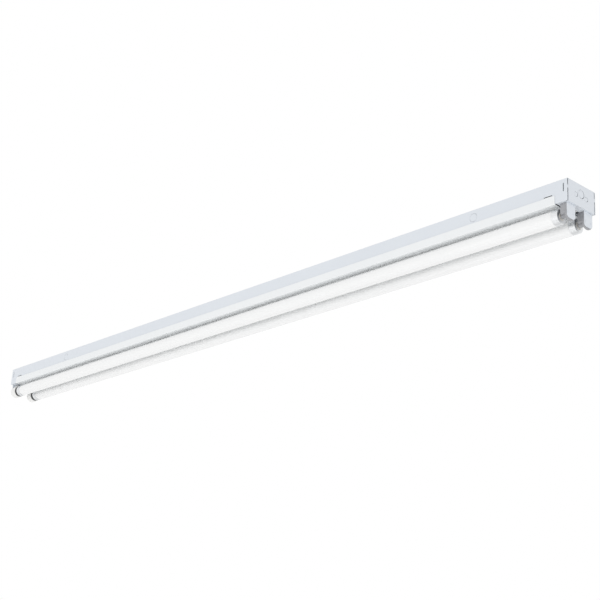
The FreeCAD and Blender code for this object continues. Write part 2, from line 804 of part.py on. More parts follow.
def make_ballast_capacitors():
    found = []
    for k in range(capacitor_count):
        row = k % 2 * 2 - 1
        column = k // 2 * 2 - 1
        x = ballast_centre_x + row * capacitor_spacing / 2
        y = column * capacitor_spacing / 2
        found.append(along_z(capacitor_diameter, x, y, board_bottom - capacitor_height, board_bottom))
    return Part.makeCompound(found)


# Studs welded under the channel's back, and their nuts
def make_ballast_studs():
    return Part.makeCompound([along_z(stud_diameter, x, 0, -sheet - stud_length, -sheet) for x in stud_places()])


def make_ballast_nuts():
    nuts = []
    for x in stud_places():
        nut = hexagon(nut_width, x, 0, can_top - nut_height, nut_height)
        nuts.append(nut.cut(along_z(stud_diameter, x, 0, can_top - nut_height - overrun, 0)))
    return Part.makeCompound(nuts)


# Ground screw: its hexagonal slotted head clamps the ground lead's ring on the collar
def make_ground_screw():
    head_top = -sheet - collar_height - ground_ring_thickness
    head_bottom = head_top - ground_head_height
    shank = along_z(ground_screw_diameter, ground_x, ground_y, head_top, -sheet / 2)
    head = hexagon(ground_head_width, ground_x, ground_y, head_bottom, ground_head_height)
    half_slot = ground_slot_width / 2
    x0 = ground_x - ground_head_width
    x1 = ground_x + ground_head_width
    y0 = ground_y - half_slot
    y1 = ground_y + half_slot
    slot = box(x0, x1, y0, y1, head_bottom - overrun, head_bottom + ground_slot_depth)
    return shank.fuse(head).cut(slot).removeSplitter()


# Terminal of the ground lead: a brass ring under the screw's head, with a barrel for the lead
def make_ground_terminal():
    ring = along_z(ground_ring_diameter, ground_x, ground_y, ring_bottom, ring_top)
    link_end = ground_x - ground_screw_diameter / 2
    half_link = barrel_diameter / 4
    link = box(barrel_end_x - sheet, link_end, ground_y - half_link, ground_y + half_link, ring_bottom, ring_top)
    barrel = along_x(barrel_diameter, barrel_start_x, barrel_end_x, ground_y, barrel_z)
    hole = along_z(ground_screw_diameter, ground_x, ground_y, ring_bottom - overrun, 0)
    bore_start = barrel_start_x - overrun
    bore = along_x(lead_diameter + 2 * pin_play, bore_start, barrel_end_x - sheet, ground_y, barrel_z)
    return ring.fuse([link, barrel]).cut([hole, bore]).removeSplitter()


def lead_path(points):
    """Straight runs joined by tangent arcs, each as large as its two runs and the bend allow."""
    edges = []
    start = points[0]
    for before, corner, after in zip(points, points[1:], points[2:]):
        into = (corner - before).normalize()
        out = (after - corner).normalize()
        half_turn = into.getAngle(out) / 2
        shorter = min((corner - before).Length, (after - corner).Length)
        radius = min(lead_bend, lead_run_share * shorter / math.tan(half_turn))
        back_off = radius * math.tan(half_turn)
        first = corner - into * back_off
        last = corner + out * back_off
        toward_centre = (out - into).normalize()
        middle = corner + toward_centre * (radius / math.cos(half_turn) - radius)
        edges.append(Part.LineSegment(start, first).toShape())
        edges.append(Part.Arc(first, middle, last).toShape())
        start = last
    edges.append(Part.LineSegment(start, points[-1]).toShape())
    return Part.Wire(edges)


def make_lead(points):
    """Insulated lead along a route."""
    path = lead_path(points)
    section = Part.Wire(Part.makeCircle(lead_diameter / 2, points[0], points[1] - points[0]))
    lead = path.makePipeShell([section], True, False)
    expected = math.pi * (lead_diameter / 2) ** 2 * path.Length
    print("lead volume over its section times its length", round(lead.Volume / expected, 4))
    return lead


# Lamp leads: from the ballast up to the back, along a row of clips and down into a lampholder
def make_lamp_lead(end, side, exit_y, end_drop):
    ballast_end = ballast_right if end > 0 else ballast_left
    row = inner_row if side > 0 else outer_row
    inside = Vector(ballast_end - end * lead_entry, exit_y, exit_z)
    outside = Vector(ballast_end + end * lead_straight, exit_y, exit_z)
    on_back = Vector(outside.x + end * lead_rise_length, row, lead_z)
    points = [inside, outside, on_back]
    holder_x = end * (half_length - terminal_lead_inset)
    if side > 0:
        points.append(Vector(end * (half_length - lead_cross_inset), row, lead_z))
        points.append(Vector(end * (half_length - lead_straight), lamp_y, -lead_cross_drop))
        points.append(Vector(holder_x, lamp_y, -lead_cross_drop - lead_turn_drop))
    else:
        points.append(Vector(end * (half_length - lead_fall_inset), row, lead_z))
        points.append(Vector(holder_x, -lamp_y, -lead_turn_drop))
    points.append(Vector(holder_x, side * lamp_y, -end_drop))
    return make_lead(points)


# Supply leads: from the ballast to their wire connectors beside the supply hole
def make_supply_lead(exit_y, connector_x, connector_y):
    start = Vector(ballast_right - lead_entry, exit_y, exit_z)
    points = [start, Vector(ballast_right + lead_straight, exit_y, exit_z)]
    points.append(Vector(connector_x - lead_straight, connector_y, -connector_drop))
    points.append(Vector(connector_x + connector_cavity_depth / 2, connector_y, -connector_drop))
    return make_lead(points)


# Ground lead: from the ring's barrel to its wire connector
def make_ground_lead():
    points = [Vector(barrel_end_x - 2 * sheet, ground_y, barrel_z)]
    points.append(Vector(barrel_start_x - lead_bend, ground_y, barrel_z))
    points.append(Vector(green_connector_x + lead_bend, green_connector_y, -connector_drop))
    end_x = green_connector_x - connector_cavity_depth / 2
    points.append(Vector(end_x, green_connector_y, -connector_drop))
    return make_lead(points)


# Wire connectors: tapered caps whose mouths face the leads that enter them
def make_wire_connector(x, y, direction):
    mouth = Vector(x, y, -connector_drop)
    step = AXIS_X * direction
    mouth_radius = connector_mouth_diameter / 2
    body = Part.makeCone(mouth_radius, connector_tip_diameter / 2, connector_length, mouth, step)
    skirt = Part.makeCylinder(mouth_radius - connector_skirt_wall, connector_skirt_depth, mouth, step)
    cavity = Part.makeCylinder(lead_diameter / 2 + fit_gap, connector_cavity_depth, mouth, step)
    return body.cut([skirt, cavity])


# Lead clips: small bridges that hold both lamp leads against the channel's back
def make_lead_clips():
    lead_radius = lead_diameter / 2
    y0 = outer_row - lead_radius - fit_gap
    y1 = inner_row + lead_radius + fit_gap
    inner_bottom = lead_z - lead_radius - fit_gap
    outer_bottom = inner_bottom - clip_thickness
    y_out = y0 - clip_thickness
    y_in = y1 + clip_thickness
    foot_bottom = -sheet - clip_thickness
    clips = []
    for end in (-1, 1):
        ballast_end = ballast_right if end > 0 else ballast_left
        x = ballast_end + end * (lead_straight + lead_rise_length + clip_start)
        while abs(x) < half_length - lead_cross_inset - clip_start:
            x0 = x - clip_length / 2
            x1 = x + clip_length / 2
            clip = box(x0, x1, y_out, y_in, outer_bottom, -sheet)
            feet = box(x0, x1, y_out - clip_foot, y_in + clip_foot, foot_bottom, -sheet)
            hollow = box(x0 - overrun, x1 + overrun, y0, y1, inner_bottom, 0)
            clips.append(clip.fuse(feet).cut(hollow).removeSplitter())
            x += end * clip_pitch
    return Part.makeCompound(clips)


def all_nodes():
    """Every node of the light, by name."""
    nodes = {
        "channel": make_channel(),
        "channel_cover": make_channel_cover(),
        "lampholder_rivets": make_lampholder_rivets(),
        "ballast_base": make_ballast_base(),
        "ballast_can": make_ballast_can(),
        "ballast_board": make_ballast_board(),
        "ballast_transformers": make_ballast_transformers(),
        "ballast_capacitors": make_ballast_capacitors(),
        "ballast_studs": make_ballast_studs(),
        "ballast_nuts": make_ballast_nuts(),
        "ground_screw": make_ground_screw(),
        "ground_terminal": make_ground_terminal(),
        "lead_clips": make_lead_clips(),
        "ground_lead": make_ground_lead(),
        "black_connector": make_wire_connector(black_connector_x, black_connector_y, 1),
        "white_connector": make_wire_connector(white_connector_x, white_connector_y, 1),
        "green_connector": make_wire_connector(green_connector_x, green_connector_y, -1),
    }
    exits = lead_exits()
    nodes["black_supply_lead"] = make_supply_lead(exits[2], black_connector_x, black_connector_y)
    nodes["white_supply_lead"] = make_supply_lead(exits[3], white_connector_x, white_connector_y)

    for end, end_name in ((1, "fixed_end"), (-1, "sprung_end")):
        nodes[end_name + "_plate"] = at_end(make_end_plate(), end)
        nodes[end_name + "_socket_bracket"] = at_end(make_socket_bracket(), end)

    fixed_lead_end = lamp_drop - fixed_body_diameter / 2 + lead_socket_depth
    spring_lead_end = lamp_drop - spring_body_diameter / 2 - pin_play
    for side, name in ((-1, "front"), (1, "rear")):
        nodes[name + "_fixed_lampholder"] = at_holder(make_fixed_lampholder(), 1, side)
        nodes[name + "_fixed_contact"] = at_holder(make_fixed_contact(), 1, side)
        nodes[name + "_sprung_lampholder"] = at_holder(make_spring_lampholder(), -1, side)
        nodes[name + "_sprung_terminal"] = at_holder(make_spring_terminal(), -1, side)
        nodes[name + "_plunger"] = at_holder(make_plunger(), -1, side)
        nodes[name + "_plunger_contact"] = at_holder(make_plunger_contact(), -1, side)
        nodes[name + "_plunger_spring"] = at_holder(make_plunger_spring(), -1, side)
        nodes[name + "_lamp_tube"] = make_lamp_tube(side)
        nodes[name + "_lamp_caps"] = at_lamp_ends(make_lamp_cap(), side)
        nodes[name + "_lamp_insulators"] = at_lamp_ends(make_lamp_insulator(), side)
        nodes[name + "_lamp_pins"] = at_lamp_ends(make_lamp_pin(), side)
        nodes[name + "_lamp_stems"] = at_lamp_ends(make_lamp_stem(), side)
        nodes[name + "_lamp_cathodes"] = at_lamp_ends(make_lamp_cathode(), side)
        exit_y = exits[1] if side > 0 else exits[0]
        nodes["blue_" + name + "_lead"] = make_lamp_lead(1, side, exit_y, fixed_lead_end)
        nodes["red_" + name + "_lead"] = make_lamp_lead(-1, side, exit_y, spring_lead_end)
    return nodes


os.makedirs("parts", exist_ok=True)
for node_name, node_shape in all_nodes().items():
    node_shape.exportStep("parts/" + node_name + ".step")
    volume = round(node_shape.Volume, 1)
    print(node_name, "solids", len(node_shape.Solids), "valid", node_shape.isValid(), "volume", volume)
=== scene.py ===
import json
import math

import bmesh
import bpy
from mathutils import Matrix, Vector


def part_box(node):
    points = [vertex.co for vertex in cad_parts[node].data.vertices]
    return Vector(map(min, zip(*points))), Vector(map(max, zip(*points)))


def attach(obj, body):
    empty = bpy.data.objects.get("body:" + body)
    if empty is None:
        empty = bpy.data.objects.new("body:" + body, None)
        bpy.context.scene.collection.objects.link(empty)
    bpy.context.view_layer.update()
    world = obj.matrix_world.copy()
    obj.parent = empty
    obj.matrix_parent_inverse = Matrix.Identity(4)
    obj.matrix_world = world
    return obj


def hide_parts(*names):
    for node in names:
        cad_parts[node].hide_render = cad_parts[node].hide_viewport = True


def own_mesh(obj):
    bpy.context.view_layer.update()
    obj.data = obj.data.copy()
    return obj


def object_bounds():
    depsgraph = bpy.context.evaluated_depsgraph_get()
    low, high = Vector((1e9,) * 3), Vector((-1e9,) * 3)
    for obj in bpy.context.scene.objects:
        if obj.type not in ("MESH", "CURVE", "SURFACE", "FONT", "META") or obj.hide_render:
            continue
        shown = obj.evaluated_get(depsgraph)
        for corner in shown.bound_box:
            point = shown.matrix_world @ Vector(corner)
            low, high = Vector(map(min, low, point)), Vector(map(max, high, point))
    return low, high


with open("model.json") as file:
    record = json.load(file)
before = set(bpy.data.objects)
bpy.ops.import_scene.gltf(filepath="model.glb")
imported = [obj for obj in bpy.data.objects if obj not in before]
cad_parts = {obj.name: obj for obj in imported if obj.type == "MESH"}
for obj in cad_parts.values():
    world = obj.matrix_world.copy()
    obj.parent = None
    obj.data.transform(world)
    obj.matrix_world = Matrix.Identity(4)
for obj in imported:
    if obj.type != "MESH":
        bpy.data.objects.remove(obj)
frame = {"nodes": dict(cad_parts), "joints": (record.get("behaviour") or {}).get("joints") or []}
cad_low, cad_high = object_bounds()

# Camera
# It stands right of the light's near end, in front of it and below it, where the photograph was taken from.
# Its place, its directions and its focal length were worked out from the light's edges in the picture.
camera_place = Vector((2.8000, -2.2522, -1.3243))
camera_right = Vector((0.67878, 0.73203, 0.05821))
camera_ahead = Vector((-0.70084, 0.62211, 0.34900))
focal_pixels = 1279.9
picture_pixels = 600
camera_data = bpy.data.cameras.new("camera")
camera_data.sensor_width = 36.0
camera_data.lens = camera_data.sensor_width * focal_pixels / picture_pixels
camera_data.clip_start = 0.05
camera_data.clip_end = 200.0
camera = bpy.data.objects.new("camera", camera_data)
bpy.context.scene.collection.objects.link(camera)
camera_turn = Matrix((camera_right, camera_right.cross(camera_ahead), -camera_ahead)).transposed()
camera.matrix_world = Matrix.Translation(camera_place) @ camera_turn.to_4x4()
bpy.context.scene.camera = camera
bpy.context.scene.view_settings.view_transform = "Standard"


# Surround
# An even white room round the light. Its own pieces get a softer level than the white that the camera sees,
# and glossy metal and glass see that same white.
def add(tree, kind, inputs=None, **settings):
    """Adds a node to a tree. Inputs go by name or number, each a plain value or another node's output."""
    node = tree.nodes.new(kind)
    for name, value in settings.items():
        setattr(node, name, value)
    for name, value in (inputs or {}).items():
        if isinstance(value, bpy.types.NodeSocket):
            tree.links.new(value, node.inputs[name])
        else:
            node.inputs[name].default_value = value
    return node


def seen_directly(tree):
    """Is 1 for the rays of the camera, of gloss and of glass, and 0 for the rest."""
    rays = add(tree, "ShaderNodeLightPath").outputs
    first_two = {0: rays["Is Camera Ray"], 1: rays["Is Glossy Ray"]}
    either = add(tree, "ShaderNodeMath", first_two, operation="MAXIMUM")
    every = {0: either.outputs[0], 1: rays["Is Transmission Ray"]}
    return add(tree, "ShaderNodeMath", every, operation="MAXIMUM").outputs[0]


surround_level = 0.84
surround = bpy.data.worlds.new("surround")
surround.use_nodes = True
bpy.context.scene.world = surround
air = surround.node_tree
air.nodes.clear()
filling = add(air, "ShaderNodeBackground", {"Color": (1, 1, 1, 1), "Strength": surround_level})
shown = add(air, "ShaderNodeBackground", {"Color": (1, 1, 1, 1), "Strength": 1.0})
either = add(air, "ShaderNodeMixShader", {0: seen_directly(air), 1: filling.outputs[0], 2: shown.outputs[0]})
add(air, "ShaderNodeOutputWorld", {"Surface": either.outputs[0]})


# Floor
# A pale matt floor, a high hall's height below the light so that views from below stay free.
# It keeps the light's soft shadow and fades to plain white towards the horizon.
def own_point(tree):
    """Where a surface point lies, measured from its object's own origin."""
    return add(tree, "ShaderNodeTexCoord").outputs["Object"]


def noise(tree, point, scale, detail, distortion=0.0):
    """Cloudy noise from 0 to 1 at a point."""
    inputs = {"Vector": point, "Scale": scale, "Detail": detail, "Distortion": distortion}
    return add(tree, "ShaderNodeTexNoise", inputs).outputs[0]


def ramp(tree, value, start, end, low=0.0, high=1.0):
    """Goes from low to high as the value goes from start to end, and stays there beyond them."""
    return add(tree, "ShaderNodeMapRange", {0: value, 1: start, 2: end, 3: low, 4: high}).outputs[0]


def spread(tree, mask, low, high):
    """Turns a mask that goes from 0 to 1 into a number from low to high."""
    return ramp(tree, mask, 0.0, 1.0, low, high)


def product(tree, first, second):
    return add(tree, "ShaderNodeMath", {0: first, 1: second}, operation="MULTIPLY").outputs[0]


floor_drop = 6.0
floor_half_width = 60.0
floor_fade_start = 6.0
floor_fade_end = 9.0
floor_mesh = bpy.data.meshes.new("floor")
floor_signs = ((-1, -1), (1, -1), (1, 1), (-1, 1))
floor_corners = [(x * floor_half_width, y * floor_half_width, 0) for x, y in floor_signs]
floor_mesh.from_pydata(floor_corners, [], [(0, 1, 2, 3)])
floor = bpy.data.objects.new("floor", floor_mesh)
floor.location = (0, 0, -floor_drop)
bpy.context.scene.collection.objects.link(floor)
floor_screed = bpy.data.materials.new("floor_screed")
floor_screed.use_nodes = True
screed = floor_screed.node_tree
screed.nodes.clear()
floor_point = own_point(screed)
floor_mottle = noise(screed, floor_point, 1.5, 5.0)
floor_tint = spread(screed, floor_mottle, 0.90, 0.94)
floor_matt = add(screed, "ShaderNodeBsdfPrincipled", {"Base Color": floor_tint, "Roughness": 0.9})
floor_reach = add(screed, "ShaderNodeVectorMath", {0: floor_point}, operation="LENGTH").outputs["Value"]
floor_far = ramp(screed, floor_reach, floor_fade_start, floor_fade_end)
floor_share = product(screed, floor_far, seen_directly(screed))
floor_glow = add(screed, "ShaderNodeEmission", {"Strength": 1.0})
floor_layers = {0: floor_share, 1: floor_matt.outputs[0], 2: floor_glow.outputs[0]}
floor_mix = add(screed, "ShaderNodeMixShader", floor_layers)
add(screed, "ShaderNodeOutputMaterial", {"Surface": floor_mix.outputs[0]})
floor_mesh.materials.append(floor_screed)


# Studio panels
# Two very large soft panels, in front and below, reach into the gaps over the lamps. A smaller one stands
# off the near end. The camera doesn't see them, but enamel, glass and metal show them as long soft glints.
def hang_panel(name, place, target, width, height, power):
    """A rectangular lamp that faces its target. Sizes in metres, power in watts."""
    data = bpy.data.lights.new(name, "AREA")
    data.shape = "RECTANGLE"
    data.size = width
    data.size_y = height
    data.energy = power
    panel = bpy.data.objects.new(name, data)
    panel.location = place
    panel.rotation_mode = "QUATERNION"
    panel.rotation_quaternion = (Vector(target) - Vector(place)).to_track_quat("-Z", "Y")
    panel.visible_camera = False
    bpy.context.scene.collection.objects.link(panel)


middle_of_light = (0, 0, -0.05)
near_half = (1.0, 0, -0.05)
hang_panel("front_panel", (0.6, -4.8, -2.4), middle_of_light, width=8.0, height=4.4, power=40.0)
hang_panel("lower_panel", (0.5, -1.4, -5.2), middle_of_light, width=7.0, height=3.0, power=35.0)
hang_panel("end_panel", (4.4, 0.4, -1.2), near_half, width=2.4, height=2.4, power=4.0)


# Channel
# One sheet of white enamelled steel, folded into a back and two sides, its holes and knockouts pressed first.
# Baked enamel has a faint orange peel, is thin and grey at cut edges, and takes dust where it faces up.
def make_group(name, outputs, **inputs):
    """A new node group, with its input sockets as outputs to link from, and its output sockets."""
    group = bpy.data.node_groups.new(name, "ShaderNodeTree")
    for label, value in inputs.items():
        group.interface.new_socket(label, in_out="INPUT", socket_type="NodeSocketFloat").default_value = value
    for label in outputs:
        group.interface.new_socket(label, in_out="OUTPUT", socket_type="NodeSocketFloat")
    return group, group.nodes.new("NodeGroupInput").outputs, group.nodes.new("NodeGroupOutput").inputs


def make_orange_peel():
    """Fine ripple of sprayed enamel, its broad waves from the sheet, and clouds of slightly uneven gloss."""
    results = ["Height", "Cloud"]
    group, given, result = make_group("orange_peel", results, Ripples=900.0, Waves=14.0, Clouds=4.0)
    point = own_point(group)
    ripple = noise(group, point, given["Ripples"], 2.0)
    wave = noise(group, point, given["Waves"], 1.0)
    cloud = noise(group, point, given["Clouds"], 4.0)
    tall = add(group, "ShaderNodeMath", {0: wave, 1: 6.0, 2: ripple}, operation="MULTIPLY_ADD").outputs[0]
    group.links.new(tall, result["Height"])
    group.links.new(cloud, result["Cloud"])
    return group


def make_edge_wear():
    """A mask of outer edges, broken up by noise, where a coat is thin or rubbed."""
    group, given, result = make_group("edge_wear", ["Wear"], Radius=0.0008, Grain=90.0, Amount=1.0)
    point = own_point(group)
    soft = add(group, "ShaderNodeBevel", {"Radius": given["Radius"]}, samples=6).outputs[0]
    sharp = add(group, "ShaderNodeNewGeometry").outputs["Normal"]
    normals = {0: soft, 1: sharp}
    likeness = add(group, "ShaderNodeVectorMath", normals, operation="DOT_PRODUCT").outputs["Value"]
    edge = ramp(group, likeness, 0.97, 0.80)
    grain = noise(group, point, given["Grain"], 5.0)
    patches = ramp(group, grain, 0.42, 0.62)
    broken = product(group, edge, patches)
    wear = product(group, broken, given["Amount"])
    group.links.new(wear, result["Wear"])
    return group


def make_settled_dust():
    """A mask of fine dust on whatever faces up, uneven and speckled."""
    group, given, result = make_group("settled_dust", ["Dust"], Speckle=260.0, Drift=9.0, Amount=0.3)
    point = own_point(group)
    normal = add(group, "ShaderNodeNewGeometry").outputs["Normal"]
    height = add(group, "ShaderNodeSeparateXYZ", {0: normal}).outputs["Z"]
    upward = ramp(group, height, 0.25, 0.95)
    speckle = noise(group, point, given["Speckle"], 3.0)
    drift = noise(group, point, given["Drift"], 3.0)
    uneven = add(group, "ShaderNodeMath", {0: speckle, 1: drift}, operation="ADD").outputs[0]
    density = ramp(group, uneven, 0.7, 1.3, low=0.2)
    lying = product(group, upward, density)
    dust = product(group, lying, given["Amount"])
    group.links.new(dust, result["Dust"])
    return group


orange_peel = make_orange_peel()
edge_wear = make_edge_wear()
settled_dust = make_settled_dust()


def chart(red, green, blue):
    """A colour of a 0 to 255 colour chart, as the shader wants it: with the standard screen curve undone."""
    colour = []
    for value in (red, green, blue):
        share = value / 255
        colour.append(share / 12.92 if share < 0.04045 else ((share + 0.055) / 1.055) ** 2.4)
    return colour + [1.0]


def start_material(name):
    """A new material with its node tree and its shader."""
    material = bpy.data.materials.new(name)
    material.use_nodes = True
    tree = material.node_tree
    return material, tree, tree.nodes["Principled BSDF"].inputs


def place(tree, group, **values):
    """Puts a node group in a material with that material's own values."""
    return add(tree, "ShaderNodeGroup", values, node_tree=group).outputs


def mixed(tree, share, first, second):
    """Goes from the first colour to the second as the share goes from 0 to 1."""
    return add(tree, "ShaderNodeMix", {0: share, 6: first, 7: second}, data_type="RGBA").outputs[2]


def surface(tree, shader, colour, mask, roughness, height, bump, normal=None):
    """Gives a shader its colour, a roughness between two values by a mask, and a bump.
    The bump is a strength and a depth in metres, for a height that goes from 0 to 1."""
    tree.links.new(colour, shader["Base Color"])
    tree.links.new(spread(tree, mask, *roughness), shader["Roughness"])
    inputs = {"Height": height, "Strength": bump[0], "Distance": bump[1]}
    if normal is not None:
        inputs["Normal"] = normal
    tree.links.new(add(tree, "ShaderNodeBump", inputs).outputs[0], shader["Normal"])


dust_colour = chart(150, 146, 138)


def make_white_enamel(name, first, second):
    """White enamel of two close colours, grey where its edges are thin, dusty where it faces up."""
    material, tree, shader = start_material(name)
    peel = place(tree, orange_peel, Ripples=900.0, Waves=14.0, Clouds=4.0)
    wear = place(tree, edge_wear, Radius=0.0006, Grain=140.0, Amount=0.45)
    dust = place(tree, settled_dust, Speckle=300.0, Drift=9.0, Amount=0.30)
    clean = mixed(tree, peel["Cloud"], chart(*first), chart(*second))
    rubbed = mixed(tree, wear["Wear"], clean, chart(168, 172, 176))
    dusty = mixed(tree, dust["Dust"], rubbed, dust_colour)
    rounded = add(tree, "ShaderNodeBevel", {"Radius": 0.0004}, samples=4).outputs[0]
    surface(tree, shader, dusty, peel["Cloud"], (0.26, 0.42), peel["Height"], (0.12, 0.00006), rounded)
    return material


white_enamel = make_white_enamel("white_enamel", (226, 231, 238), (231, 236, 242))


def dress(material, *nodes):
    """Gives CAD nodes a finish."""
    for node in nodes:
        for slot in frame["nodes"][node].material_slots:
            slot.material = material


dress(white_enamel, "channel")


# Studs and ground screw
# Two zinc plated studs are welded under the channel's back for the ballast, and their hex nuts hold its feet.
# A green hex screw with a slot, in a drawn collar, holds the brass ring of the ground lead.
def make_drawn_grain():
    """Fine lines along a piece from rolling or drawing, and blotches of duller metal."""
    group, given, result = make_group("drawn_grain", ["Height", "Blotch"], Lines=2500.0, Blotches=160.0)
    point = own_point(group)
    drawn = add(group, "ShaderNodeMapping", {"Vector": point, "Scale": (0.02, 1.0, 1.0)}).outputs[0]
    lines = noise(group, drawn, given["Lines"], 3.0)
    blotch = noise(group, point, given["Blotches"], 4.0)
    group.links.new(lines, result["Height"])
    group.links.new(blotch, result["Blotch"])
    return group


drawn_grain = make_drawn_grain()


def make_metal(name, bright, dull, roughness):
    """A bare or plated metal with drawing lines, duller blotches and rubbed edges."""
    material, tree, shader = start_material(name)
    grain = place(tree, drawn_grain, Lines=2500.0, Blotches=160.0)
    wear = place(tree, edge_wear, Radius=0.0003, Grain=500.0, Amount=0.5)
    base = mixed(tree, grain["Blotch"], chart(*bright), chart(*dull))
    rubbed = mixed(tree, wear["Wear"], base, chart(*bright))
    surface(tree, shader, rubbed, grain["Blotch"], roughness, grain["Height"], (0.15, 0.00003))
    shader["Metallic"].default_value = 1.0
    return material


zinc_plate = make_metal("zinc_plate", (214, 217, 222), (176, 180, 186), (0.24, 0.45))
stamped_brass = make_metal("stamped_brass", (226, 196, 122), (188, 152, 84), (0.20, 0.42))


def make_green_plate():
    """Green passivated zinc, rubbed bright at its edges."""
    material, tree, shader = start_material("green_plate")
    grain = place(tree, drawn_grain, Lines=1800.0, Blotches=220.0)
    wear = place(tree, edge_wear, Radius=0.0004, Grain=400.0, Amount=0.8)
    base = mixed(tree, grain["Blotch"], chart(38, 150, 74), chart(24, 118, 58))
    rubbed = mixed(tree, wear["Wear"], base, chart(196, 200, 204))
    surface(tree, shader, rubbed, grain["Blotch"], (0.28, 0.45), grain["Height"], (0.15, 0.00003))
    tree.links.new(wear["Wear"], shader["Metallic"])
    return material


green_plate = make_green_plate()
dress(zinc_plate, "ballast_studs", "ballast_nuts")
dress(green_plate, "ground_screw")
dress(stamped_brass, "ground_terminal")


# Ballast
# A dark painted steel base and can with an electronic board inside, which carries two taped transformers
# and four sleeved capacitors. Its feet sit on the studs.
def make_ballast_paint():
    """Dark grey paint with a coarse peel, thin and light at its edges, dusty on top."""
    material, tree, shader = start_material("ballast_paint")
    peel = place(tree, orange_peel, Ripples=1400.0, Waves=40.0, Clouds=18.0)
    wear = place(tree, edge_wear, Radius=0.0006, Grain=200.0, Amount=0.8)
    dust = place(tree, settled_dust, Speckle=300.0, Drift=30.0, Amount=0.2)
    base = mixed(tree, peel["Cloud"], chart(60, 62, 65), chart(70, 72, 75))
    rubbed = mixed(tree, wear["Wear"], base, chart(150, 152, 154))
    dusty = mixed(tree, dust["Dust"], rubbed, dust_colour)
    surface(tree, shader, dusty, peel["Cloud"], (0.35, 0.55), peel["Height"], (0.25, 0.00008))
    return material


def make_board_laminate():
    """Green laminate with thin copper tracks under its varnish, a woven glass ground, and tinned pads."""
    material, tree, shader = start_material("board_laminate")
    point = own_point(tree)
    bricks = {"Vector": point, "Scale": 120.0, "Mortar Size": 0.05}
    tracks = add(tree, "ShaderNodeTexBrick", bricks).outputs["Fac"]
    pads = add(tree, "ShaderNodeTexVoronoi", {"Vector": point, "Scale": 170.0}).outputs["Distance"]
    pad = ramp(tree, pads, 0.16, 0.12)
    weave = noise(tree, point, 900.0, 2.0)
    ground = mixed(tree, weave, chart(30, 92, 56), chart(38, 106, 64))
    tracked = mixed(tree, tracks, ground, chart(62, 138, 86))
    tinned = mixed(tree, pad, tracked, chart(198, 200, 202))
    surface(tree, shader, tinned, weave, (0.25, 0.45), tracks, (0.3, 0.0001))
    return material


def make_winding_tape():
    """Yellow tape wound over a coil: overlapping turns, browner where the copper shows through."""
    material, tree, shader = start_material("winding_tape")
    point = own_point(tree)
    bands = {"Vector": point, "Scale": 90.0, "Distortion": 1.2}
    turns = add(tree, "ShaderNodeTexWave", bands, bands_direction="Y").outputs[0]
    stain = noise(tree, point, 120.0, 4.0)
    lapped = mixed(tree, turns, chart(216, 180, 66), chart(232, 202, 96))
    stained = mixed(tree, ramp(tree, stain, 0.5, 0.8, high=0.4), lapped, chart(170, 116, 50))
    surface(tree, shader, stained, stain, (0.2, 0.4), turns, (0.4, 0.0002))
    return material


def make_moulding_grain():
    """The skin of a moulded plastic: a very fine spark-eroded grain and faint flow marks."""
    group, given, result = make_group("moulding_grain", ["Height", "Flow mark"], Grain=3000.0, Flow=60.0)
    point = own_point(group)
    grain = noise(group, point, given["Grain"], 3.0)
    flow = noise(group, point, given["Flow"], 2.0, 1.5)
    group.links.new(grain, result["Height"])
    group.links.new(flow, result["Flow mark"])
    return group


moulding_grain = make_moulding_grain()


def make_plastic(name, first, second, roughness, edge, grain=3000.0):
    """A moulded or drawn plastic of two close colours, with scuffed edges and a little dust on top."""
    material, tree, shader = start_material(name)
    skin = place(tree, moulding_grain, Grain=grain, Flow=60.0)
    wear = place(tree, edge_wear, Radius=0.0004, Grain=300.0, Amount=0.5)
    dust = place(tree, settled_dust, Speckle=500.0, Drift=60.0, Amount=0.22)
    base = mixed(tree, skin["Flow mark"], chart(*first), chart(*second))
    scuffed = mixed(tree, wear["Wear"], base, chart(*edge))
    dusty = mixed(tree, dust["Dust"], scuffed, dust_colour)
    surface(tree, shader, dusty, skin["Flow mark"], roughness, skin["Height"], (0.2, 0.00003))
    return material


capacitor_sleeve = make_plastic("capacitor_sleeve", (30, 34, 52), (36, 42, 64), (0.22, 0.4), (120, 124, 140))
dress(make_ballast_paint(), "ballast_base", "ballast_can")
dress(make_board_laminate(), "ballast_board")


usual_crease = 32


def finish_mesh(name, shape, crease=usual_crease):
    """Turns a bmesh into an object, smooth but for its sharp edges."""
    bmesh.ops.recalc_face_normals(shape, faces=shape.faces)
    mesh = bpy.data.meshes.new(name)
    shape.to_mesh(mesh)
    shape.free()
    mesh.shade_smooth()
    mesh.set_sharp_from_angle(angle=math.radians(crease))
    piece = bpy.data.objects.new(name, mesh)
    bpy.context.scene.collection.objects.link(piece)
    return piece


def eased(corners, steps=5):
    """Rounds the corners of a closed outline. Each corner is x, radius and how round it is."""
    points = []
    for k, (x, radius, rounding) in enumerate(corners):
        here = Vector((x, radius))
        before = (Vector(corners[k - 1][:2]) - here).normalized()
        after = (Vector(corners[(k + 1) % len(corners)][:2]) - here).normalized()
        if rounding == 0:
            points.append((x, radius))
            continue
        half = before.angle(after) / 2
        middle = here + (before + after).normalized() * rounding / math.sin(half)
        start = here + before * rounding / math.tan(half) - middle
        end = here + after * rounding / math.tan(half) - middle
        sweep = math.atan2(start.x * end.y - start.y * end.x, start.dot(end))
        for step in range(steps + 1):
            turn = Matrix.Rotation(sweep * step / steps, 2)
            points.append(tuple(middle + turn @ start))
    return points


